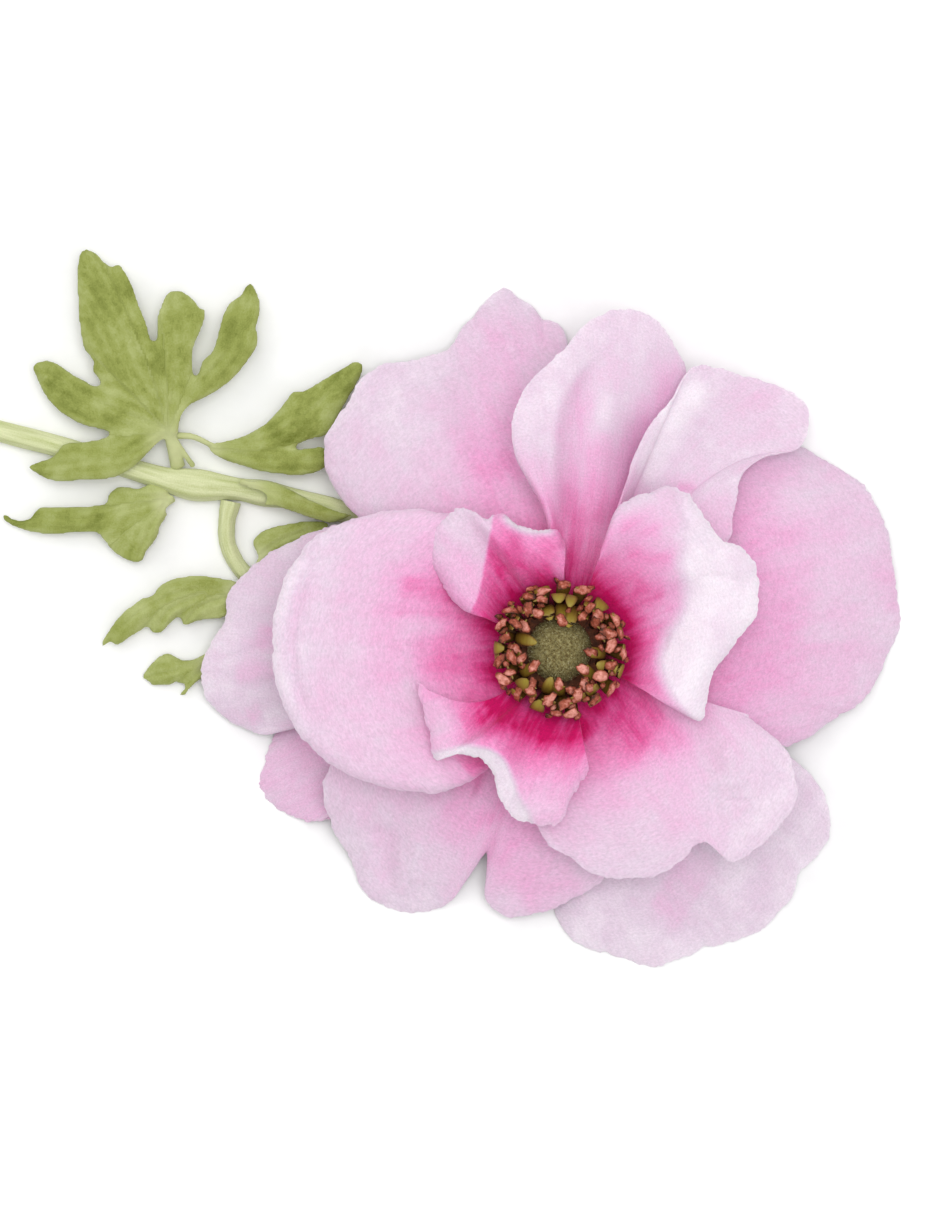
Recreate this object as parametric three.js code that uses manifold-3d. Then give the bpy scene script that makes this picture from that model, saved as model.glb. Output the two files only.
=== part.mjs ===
// An anemone flower, cut and lying face up on a table: a semi-double bloom on a leafy stem.
// Millimetres, +Z up. Shapes are drawn about the bloom's centre, and the whole is centred at the end.
import * as THREE from 'three';
import { mergeVertices } from 'three/addons/utils/BufferGeometryUtils.js';
import Module from 'manifold-3d';

const wasm = await Module();
wasm.setup();

// ---------- driving sizes ----------
const gap = 0.3; // air left between pieces that touch
const petalThickness = 0.5;
const petalAcross = 18; // panels around a petal's rim
const petalAlong = 6; // panels from its claw to its rim
const normalPasses = 2; // evening passes over a petal's normals
const receptacleRadius = 4.3;
const receptacleFoot = 7.2; // height of its underside above the table
const receptacleTop = 13.3;
const flangeRadius = 5.6; // the rim that the stamens stand on
const domeRadius = 4.1;
const domeTop = 16.6;
const clawRadius = receptacleRadius + 1.5 * gap;
const stemRadius = 1.4;
const shootRadius = 1.1;
const petioleRadius = 0.8;
const leafThickness = 0.8;
const leafPanel = 3; // longest side of a blade's panels
const veinSteps = 30;
const stamenRows = 20; // sprays of three around the dome
const filamentThickness = 0.34;
const antherThickness = 0.55;

const colours = {
  petal: 0xe9b3d3,
  petalInner: 0xe07fb4,
  leaf: 0x96a550,
  stem: 0xccd3a2,
  receptacle: 0x472b1f,
  dome: 0x7b7f5c,
  stamen: 0xb9766a,
};

const above = new THREE.Vector3(0, 0, 1);
const flower = new THREE.Group();

function add(name, geometry, colour, roughness) {
  const material = new THREE.MeshStandardMaterial({ color: colour, roughness, metalness: 0 });
  const mesh = new THREE.Mesh(geometry, material);
  mesh.name = name;
  flower.add(mesh);
}

function turned(angle, radius, z) {
  const a = THREE.MathUtils.degToRad(angle);
  return new THREE.Vector3(radius * Math.cos(a), radius * Math.sin(a), z);
}

function spline(points) {
  const through = points.map((p) => (p.isVector3 ? p : new THREE.Vector3(...p)));
  return new THREE.CatmullRomCurve3(through, false, 'centripetal');
}

function geometryOf(positions, faces) {
  const geometry = new THREE.BufferGeometry();
  geometry.setAttribute('position', new THREE.Float32BufferAttribute(positions, 3));
  geometry.setIndex(faces);
  geometry.computeVertexNormals();
  return geometry;
}

// ---------- joining with manifold ----------
function toSolid(geometry) {
  const bare = geometry.clone();
  bare.deleteAttribute('normal');
  bare.deleteAttribute('uv');
  const merged = mergeVertices(bare, 1e-4);
  const mesh = new wasm.Mesh({
    numProp: 3,
    vertProperties: new Float32Array(merged.attributes.position.array),
    triVerts: new Uint32Array(merged.index.array),
  });
  return new wasm.Manifold(mesh);
}

function geometryFrom(solid) {
  const mesh = solid.getMesh();
  return geometryOf(Array.from(mesh.vertProperties), Array.from(mesh.triVerts));
}

function joined(geometries) {
  return geometryFrom(geometries.map(toSolid).reduce((sum, next) => sum.add(next)));
}

// ---------- petals ----------
// claw: the angles between which the petal grows from the receptacle, and its height there.
// rise: how far it climbs as it leaves the claw. arch: how far it stands above its rim just inside it.
// rim: x, y, z of the free edge, anticlockwise. waist: where a crooked petal bends, one x, y a rim point.
const petals = {
  petal_outer_right: {
    claw: [-22, 34, 8.9],
    rise: 4,
    arch: 8,
    rim: [
      [30, -13, 4], [35, -9.5, 2.5], [40, -6, 1.5], [42.5, -1.5, 0.8], [44.5, 3, 0.35], [44, 6.5, 0.6],
      [43.5, 9.5, 1.2], [43, 13.5, 0.9], [41.5, 17.5, 0.8], [39, 21.5, 0.8], [34.5, 24.2, 0.8],
      [31, 26.6, 0.7], [26, 28.4, 0.7],
    ],
  },
  petal_outer_lower_right: {
    claw: [290, 330, 8.1],
    rise: 2,
    arch: 4.5,
    rim: [
      [-1, -33.5, 0.6], [2.5, -38, 0.4], [8, -40, 0.4], [12.5, -41, 0.35], [16, -40, 0.5],
      [19, -39, 0.4], [23, -38, 0.35], [27, -36, 0.5], [30.5, -32, 0.8], [32, -28.5, 0.8],
      [34.5, -25.5, 0.6], [35, -20, 1], [33, -16.5, 2], [29.5, -13.4, 3.4],
    ],
  },
  petal_outer_bottom: {
    claw: [228, 276, 8.9],
    rise: 2.5,
    arch: 5.5,
    rim: [
      [-29, -13.5, 8.5], [-30, -19, 6], [-29, -23, 3.5], [-26.5, -27.5, 1.5], [-25, -31.5, 0.6],
      [-22, -33.5, 0.35], [-19, -34, 0.35], [-14.5, -33, 0.8], [-11.5, -29.5, 2.5], [-9.2, -26.2, 4],
      [-9.2, -29.5, 3.5], [-9.3, -32, 2.6], [-7.5, -34, 2.2], [-5, -34.5, 2.2], [-1.5, -34, 2.8],
      [2, -32, 4.3], [5.5, -29.5, 5.8], [6, -24, 7.4],
    ],
  },
  petal_outer_lower_left: {
    claw: [196, 220, 8.1],
    rise: 1.5,
    arch: 4,
    rim: [
      [-33, -8, 1.4], [-37, -11.5, 0.8], [-38, -15, 0.6], [-38.5, -17.5, 0.4], [-36.5, -20.5, 0.4],
      [-34, -22, 0.6], [-29.5, -22, 2], [-25, -20.6, 4],
    ],
  },
  petal_outer_left: {
    claw: [158, 187, 8.9],
    rise: 3,
    arch: 5,
    rim: [
      [-26.5, 16.5, 6], [-33, 14.5, 5], [-38.5, 11, 4.2], [-42, 7.5, 3.8], [-43, 3.5, 3.4],
      [-45.5, -1.5, 3.3], [-45.5, -6, 2.3], [-41, -10, 1.6], [-38, -11, 2.2], [-33, -10, 4],
    ],
  },
  petal_outer_top: {
    claw: [90, 140, 8.9],
    rise: 3.5,
    arch: 6,
    rim: [
      [2, 35, 4], [0.9, 40.4, 1.8], [-0.2, 41.9, 1.2], [-1.8, 42.5, 1], [-3.4, 44.5, 0.6],
      [-5.3, 45.5, 0.5], [-6.9, 46.5, 0.35], [-8.4, 45.7, 0.4], [-10.3, 43.8, 0.7], [-12, 41.8, 1.3],
      [-14.2, 38.6, 3.2], [-17, 37.6, 3.6], [-20.3, 36.9, 4], [-23.5, 36.2, 4.2], [-26, 34, 4.5],
      [-27.5, 30.5, 5], [-29.4, 28, 5], [-29.9, 25.5, 5.2], [-29.5, 22.3, 5.5], [-28, 19.5, 6],
      [-25.5, 16.8, 7], [-20.5, 12.6, 9.65],
    ],
  },
  petal_middle_top: {
    claw: [58, 102, 9.7],
    rise: 3,
    arch: 1,
    rim: [
      [14.2, 27, 9], [15.8, 31, 7.5], [16.5, 35, 7], [14.9, 38.8, 8], [12.4, 42.1, 9.5],
      [8.6, 43.2, 11], [4.3, 42.1, 12.5], [0, 37.5, 14.5], [-4.5, 33, 16], [-6, 29, 17],
      [-5.8, 25, 17], [-4.4, 22, 16.2], [-2.6, 19.3, 14.7],
    ],
    waist: [
      [7, 16], [8, 18.5], [8.5, 20.5], [8, 22], [7, 22.5], [5.8, 22.5], [4.6, 22], [3.2, 21],
      [2.2, 20], [1.8, 19], [1.7, 17.2], [1.4, 15.2], [0.1, 13],
    ],
  },
  petal_middle_left: {
    claw: [154, 218, 10],
    rise: 2.5,
    arch: 1.5,
    rim: [
      [-14, 17.5, 15.5], [-20.5, 17.5, 16], [-27, 16, 16], [-32, 13, 16], [-35, 8, 16], [-36, 1.5, 16],
      [-35.5, -5, 15.5], [-32.5, -11, 15], [-27, -15.5, 14.5], [-20.5, -17.8, 14],
      [-15.5, -18.2, 13.4], [-12, -17, 13], [-9, -14.8, 12.6],
    ],
  },
  petal_middle_lower_right: {
    claw: [279, 337, 10],
    rise: 3,
    arch: 2,
    rim: [
      [-3, -17, 13], [-3, -21.5, 13], [-1.5, -24.5, 12.5], [1.5, -26.5, 12], [5, -28.5, 11.5],
      [11.5, -29, 11.5], [15.5, -26.8, 12.5], [18.5, -24.5, 13], [22, -27, 12], [26.5, -24, 12],
      [30, -19, 12.5], [29.5, -14.5, 12.5], [27.5, -11.5, 12.5], [23, -8.2, 12.2],
    ],
  },
  petal_middle_upper_right: {
    claw: [24, 62, 10.4],
    rise: 3,
    arch: 1,
    rim: [
      [21.3, 12.9, 12], [22, 15.5, 11.5], [22.6, 19, 10], [23.5, 22.3, 9], [26.5, 24.6, 7],
      [31.2, 26, 5.4], [32.3, 29.9, 4.8], [30.5, 32.5, 4.9], [25.4, 34.5, 6], [20.6, 35.9, 7.3],
      [16.9, 35.7, 9], [14.5, 32, 11], [11.5, 28.5, 12.6], [9.3, 24, 13.3],
    ],
    waist: [
      [14.5, 10.5], [15.5, 13.5], [16.5, 17], [17.3, 21], [17.2, 24], [16.6, 26], [15.9, 27],
      [15, 27.5], [14, 27.2], [12.5, 26], [11, 24], [9.5, 21], [8, 17.5], [6.6, 14.5],
    ],
  },
  petal_inner_upper_left: {
    claw: [84, 155, 11.3],
    rise: 2.5,
    arch: 3,
    rim: [
      [0.6, 13.4, 14.6], [-0.3, 15, 15.2], [-2.5, 15.1, 16.2], [-5, 15.4, 17], [-7.5, 17.2, 18],
      [-9.2, 16.3, 19], [-10.7, 17.2, 19], [-12.6, 17.8, 18], [-14.4, 16.7, 17.5], [-16.1, 15.1, 17.2],
      [-16, 11, 17], [-15.1, 8.8, 16.5], [-13.6, 6.5, 16], [-12.3, 5.1, 15.5],
    ],
  },
  petal_inner_right: {
    claw: [-20, 56, 11.3],
    rise: 3,
    arch: 4,
    rim: [
      [16.6, -8.6, 15.8], [18.1, -9.1, 16.5], [18.4, -6.4, 16.7], [18.9, -4.3, 17], [19.7, -2.3, 17],
      [21, -0.7, 17], [22.4, 1.3, 17], [23.7, 3.1, 17], [24.8, 5.1, 17], [25.2, 7.2, 17],
      [24.9, 9.5, 17.3], [24.1, 11.3, 17.8], [22.8, 12.8, 18.2], [21.1, 13.6, 18.6],
      [19.4, 15.1, 18.8], [17.9, 16.9, 19.1], [16.3, 19.2, 18.5], [14.1, 20.3, 18], [11.3, 19.8, 18.5],
      [7.3, 17.8, 19], [6.1, 15.4, 18],
    ],
  },
  petal_inner_bottom: {
    claw: [214, 292, 11.3],
    rise: 3,
    arch: 2.5,
    rim: [
      [-17.7, -4.1, 15.6], [-16.7, -8.8, 16.5], [-15.8, -13.8, 17], [-14.1, -13.4, 18],
      [-12.6, -13, 18.5], [-10.7, -13.5, 18.5], [-8.8, -14.9, 18], [-7.5, -18.5, 17],
      [-5.6, -21.4, 16], [-1.9, -22, 16], [0, -21.7, 16], [1.5, -18.5, 16], [3.6, -15.1, 15.5],
    ],
    waist: [
      [-10.2, -10], [-10, -10.2], [-9.6, -10.3], [-8.8, -10.4], [-8, -10], [-7, -9.8], [-6, -10],
      [-5, -11], [-3.8, -12], [-2, -12.5], [-0.5, -12.5], [1, -11.3], [2.6, -9.8],
    ],
  },
};

function bend(a, b, c, d, t) {
  const s = 1 - t;
  return s * s * s * a + 3 * s * s * t * b + 3 * s * t * t * c + t * t * t * d;
}

// A point of the petal's middle surface: u runs round the rim, v from the claw to the rim.
function petalPoint(petal, rim, waists, u, v) {
  const [from, to, foot] = petal.claw;
  const root = turned(from + (to - from) * u, clawRadius, foot);
  const end = rim.getPointAt(u);
  const waist = waists ? waists.getPoint(rim.getUtoTmapping(u)) : root.clone().lerp(end, 0.5);
  const s = 1 - v;
  const x = s * s * root.x + 2 * s * v * waist.x + v * v * end.x;
  const y = s * s * root.y + 2 * s * v * waist.y + v * v * end.y;
  const z = bend(foot, foot + petal.rise, end.z + petal.arch, end.z, v);
  return new THREE.Vector3(x, y, z);
}

// Two triangles for each panel of a grid of points.
function gridFaces(columns, rows) {
  const faces = [];
  for (let j = 0; j < rows - 1; j++) {
    for (let i = 0; i < columns - 1; i++) {
      const a = j * columns + i;
      faces.push(a, a + columns, a + columns + 1, a, a + columns + 1, a + 1);
    }
  }
  return faces;
}

// The sheet's normals, evened with their neighbours' so that its narrow corners stay sound.
function sheetNormals(middle, columns, rows) {
  const raw = geometryOf(middle, gridFaces(columns, rows)).getAttribute('normal');
  let normals = Array.from({ length: raw.count }, (_, k) => new THREE.Vector3().fromBufferAttribute(raw, k));
  for (let pass = 0; pass < normalPasses; pass++) {
    normals = normals.map((normal, k) => {
      const sum = normal.clone();
      if (k % columns > 0) sum.add(normals[k - 1]);
      if (k % columns < columns - 1) sum.add(normals[k + 1]);
      if (k >= columns) sum.add(normals[k - columns]);
      if (k < columns * (rows - 1)) sum.add(normals[k + columns]);
      return sum.normalize();
    });
  }
  return normals;
}

function petalGeometry(petal) {
  const rim = spline(petal.rim);
  const waists = petal.waist ? spline(petal.waist.map(([x, y]) => [x, y, 0])) : null;
  const columns = petalAcross + 1;
  const rows = petalAlong + 1;
  const middle = [];
  for (let j = 0; j < rows; j++) {
    for (let i = 0; i < columns; i++) {
      middle.push(...petalPoint(petal, rim, waists, i / petalAcross, j / petalAlong));
    }
  }
  const front = [];
  const back = [];
  sheetNormals(middle, columns, rows).forEach((normal, k) => {
    const at = new THREE.Vector3().fromArray(middle, 3 * k);
    front.push(...at.clone().addScaledVector(normal, petalThickness / 2));
    back.push(...at.clone().addScaledVector(normal, -petalThickness / 2));
  });
  return shell(front, back, columns, rows);
}

// A closed sheet from a grid of front points and the same grid of back points.
function shell(front, back, columns, rows) {
  const faces = [];
  const behind = columns * rows;
  const quad = (a, b, c, d) => faces.push(a, b, c, a, c, d);
  for (let j = 0; j < rows - 1; j++) {
    for (let i = 0; i < columns - 1; i++) {
      const a = j * columns + i;
      quad(a, a + columns, a + columns + 1, a + 1);
      quad(behind + a, behind + a + 1, behind + a + columns + 1, behind + a + columns);
    }
  }
  for (let i = 0; i < columns - 1; i++) {
    const end = (rows - 1) * columns + i;
    quad(i, i + 1, behind + i + 1, behind + i);
    quad(end + 1, end, behind + end, behind + end + 1);
  }
  for (let j = 0; j < rows - 1; j++) {
    const a = j * columns;
    const b = a + columns - 1;
    quad(a + columns, a, behind + a, behind + a + columns);
    quad(b, b + columns, behind + b + columns, behind + b);
  }
  return geometryOf(front.concat(back), faces);
}

for (const [name, petal] of Object.entries(petals)) {
  add(name, petalGeometry(petal), name.includes('inner') ? colours.petalInner : colours.petal, 0.75);
}

// ---------- receptacle and dome ----------
const receptacleProfile = [
  [0, receptacleFoot],
  [2, receptacleFoot],
  [receptacleRadius, receptacleFoot + 0.4],
  [receptacleRadius, receptacleTop - 0.8],
  [flangeRadius, receptacleTop - 0.3],
  [flangeRadius, receptacleTop],
  [0, receptacleTop],
];

function lathed(profile, sides) {
  return new THREE.LatheGeometry(profile.map((p) => new THREE.Vector2(...p)), sides).rotateX(Math.PI / 2);
}

add('receptacle', lathed(receptacleProfile, 24), colours.receptacle, 0.7);

const domeFoot = receptacleTop + gap;
const domeProfile = [
  [0, domeFoot],
  [domeRadius * 0.9, domeFoot],
  [domeRadius, domeFoot + 1],
  [domeRadius * 0.85, domeTop - 0.9],
  [domeRadius * 0.5, domeTop - 0.2],
  [0, domeTop],
];
add('pistil_dome', lathed(domeProfile, 20), colours.dome, 0.95);

// ---------- strips for the stamens ----------
const strap = [[-1, 0.5], [1, 0.5], [1, -0.5], [-1, -0.5]];

// A closed strip along a curve, flat side to side and as wide as width(t) at each step.
function strip(points, steps, width, thickness, outward) {
  const curve = spline(points);
  const positions = [];
  for (let k = 0; k <= steps; k++) {
    const t = k / steps;
    const at = curve.getPointAt(t);
    const along = curve.getTangentAt(t);
    const side = along.clone().cross(outward).normalize();
    const up = side.clone().cross(along).normalize();
    for (const [a, b] of strap) {
      const p = at.clone().addScaledVector(side, a * width(t) / 2).addScaledVector(up, b * thickness);
      positions.push(p.x, p.y, p.z);
    }
  }
  const count = strap.length;
  const faces = [];
  for (let k = 0; k < steps; k++) {
    for (let i = 0; i < count; i++) {
      const a = k * count + i;
      const b = k * count + (i + 1) % count;
      faces.push(a, b, b + count, a, b + count, a + count);
    }
  }
  for (let i = 1; i < count - 1; i++) {
    const last = steps * count;
    faces.push(0, i + 1, i, last, last + i, last + i + 1);
  }
  return geometryOf(positions, faces);
}

// ---------- stamens ----------
// Each row: radius at the foot, at the belly and at the tip, height of belly and tip, anther width, turn.
const stamenKinds = [
  { foot: 5.35, belly: 8.1, tip: 7.7, bellyHeight: 16, tipHeight: 18, anther: 1.7, turn: -5 },
  { foot: 5.1, belly: 6.5, tip: 6.3, bellyHeight: 16.6, tipHeight: 19, anther: 1.4, turn: 4 },
  { foot: 4.9, belly: 5.2, tip: 4.8, bellyHeight: 15.6, tipHeight: 17.6, anther: 1.0, turn: -1 },
];
const stamenFoot = receptacleTop + gap;

function stamenPieces(angle) {
  const pieces = [];
  for (const kind of stamenKinds) {
    const lean = angle + kind.turn;
    const path = [
      turned(angle, kind.foot, stamenFoot + 0.2),
      turned(lean, kind.belly, kind.bellyHeight),
      turned(lean, kind.tip, kind.tipHeight),
    ];
    const out = turned(lean, 1, 0);
    const filament = (t) => 0.7 + 0.4 * Math.sin(Math.PI * t);
    pieces.push(strip(path, 3, filament, filamentThickness, out));
    const head = [
      turned(lean, kind.tip + 0.15, kind.tipHeight - 0.7),
      turned(lean, kind.tip - 0.1, kind.tipHeight + 0.1),
      turned(lean, kind.tip - 0.6, kind.tipHeight + 0.7),
    ];
    const plump = (t) => kind.anther * (0.7 + 0.3 * Math.sin(Math.PI * t));
    pieces.push(strip(head, 2, plump, antherThickness, out));
  }
  const foot = [turned(angle, 4.6, stamenFoot + 0.25), turned(angle, 5.55, stamenFoot + 0.25)];
  pieces.push(strip(foot, 1, () => 1, 0.5, above));
  return pieces;
}

for (let k = 0; k < stamenRows; k++) {
  const name = `stamen_spray_${String(k + 1).padStart(2, '0')}`;
  add(name, joined(stamenPieces(k * 360 / stamenRows)), colours.stamen, 0.8);
}

// ---------- stem and shoot ----------
function tube(points, radius, steps, sides) {
  const section = new THREE.Shape();
  section.absarc(0, 0, radius, 0, 2 * Math.PI);
  const options = { steps, curveSegments: sides / 2, extrudePath: spline(points) };
  return new THREE.ExtrudeGeometry(section, options);
}

const stemPath = [
  [-109.5, 39.2, 1.45], [-91.4, 33.9, 1.45], [-72, 28.1, 1.45], [-64.3, 26.1, 1.5], [-56.5, 23.7, 1.5],
  [-48.8, 21.5, 1.5], [-41.7, 20.7, 1.5], [-33.3, 19.2, 1.5], [-26.8, 17.3, 1.5], [-16.5, 11.5, 1.7],
  [-8, 5.6, 2.2], [-2.6, 1.8, 3.4], [-0.4, 0.3, 5], [0, 0, 6.2], [0, 0, receptacleFoot - gap],
];
add('stem', tube(stemPath, stemRadius, 40, 10), colours.stem, 0.7);

const shootPath = [
  [-42.2, 19, 1.2], [-42.7, 16.5, 1.15], [-42.6, 13.5, 1.15], [-41, 10.4, 1.15], [-38.5, 8, 1.15],
  [-37.5, 5, 1.15], [-38.5, 2.5, 1.15],
];
add('side_shoot', tube(shootPath, shootRadius, 14, 10), colours.stem, 0.7);

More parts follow.
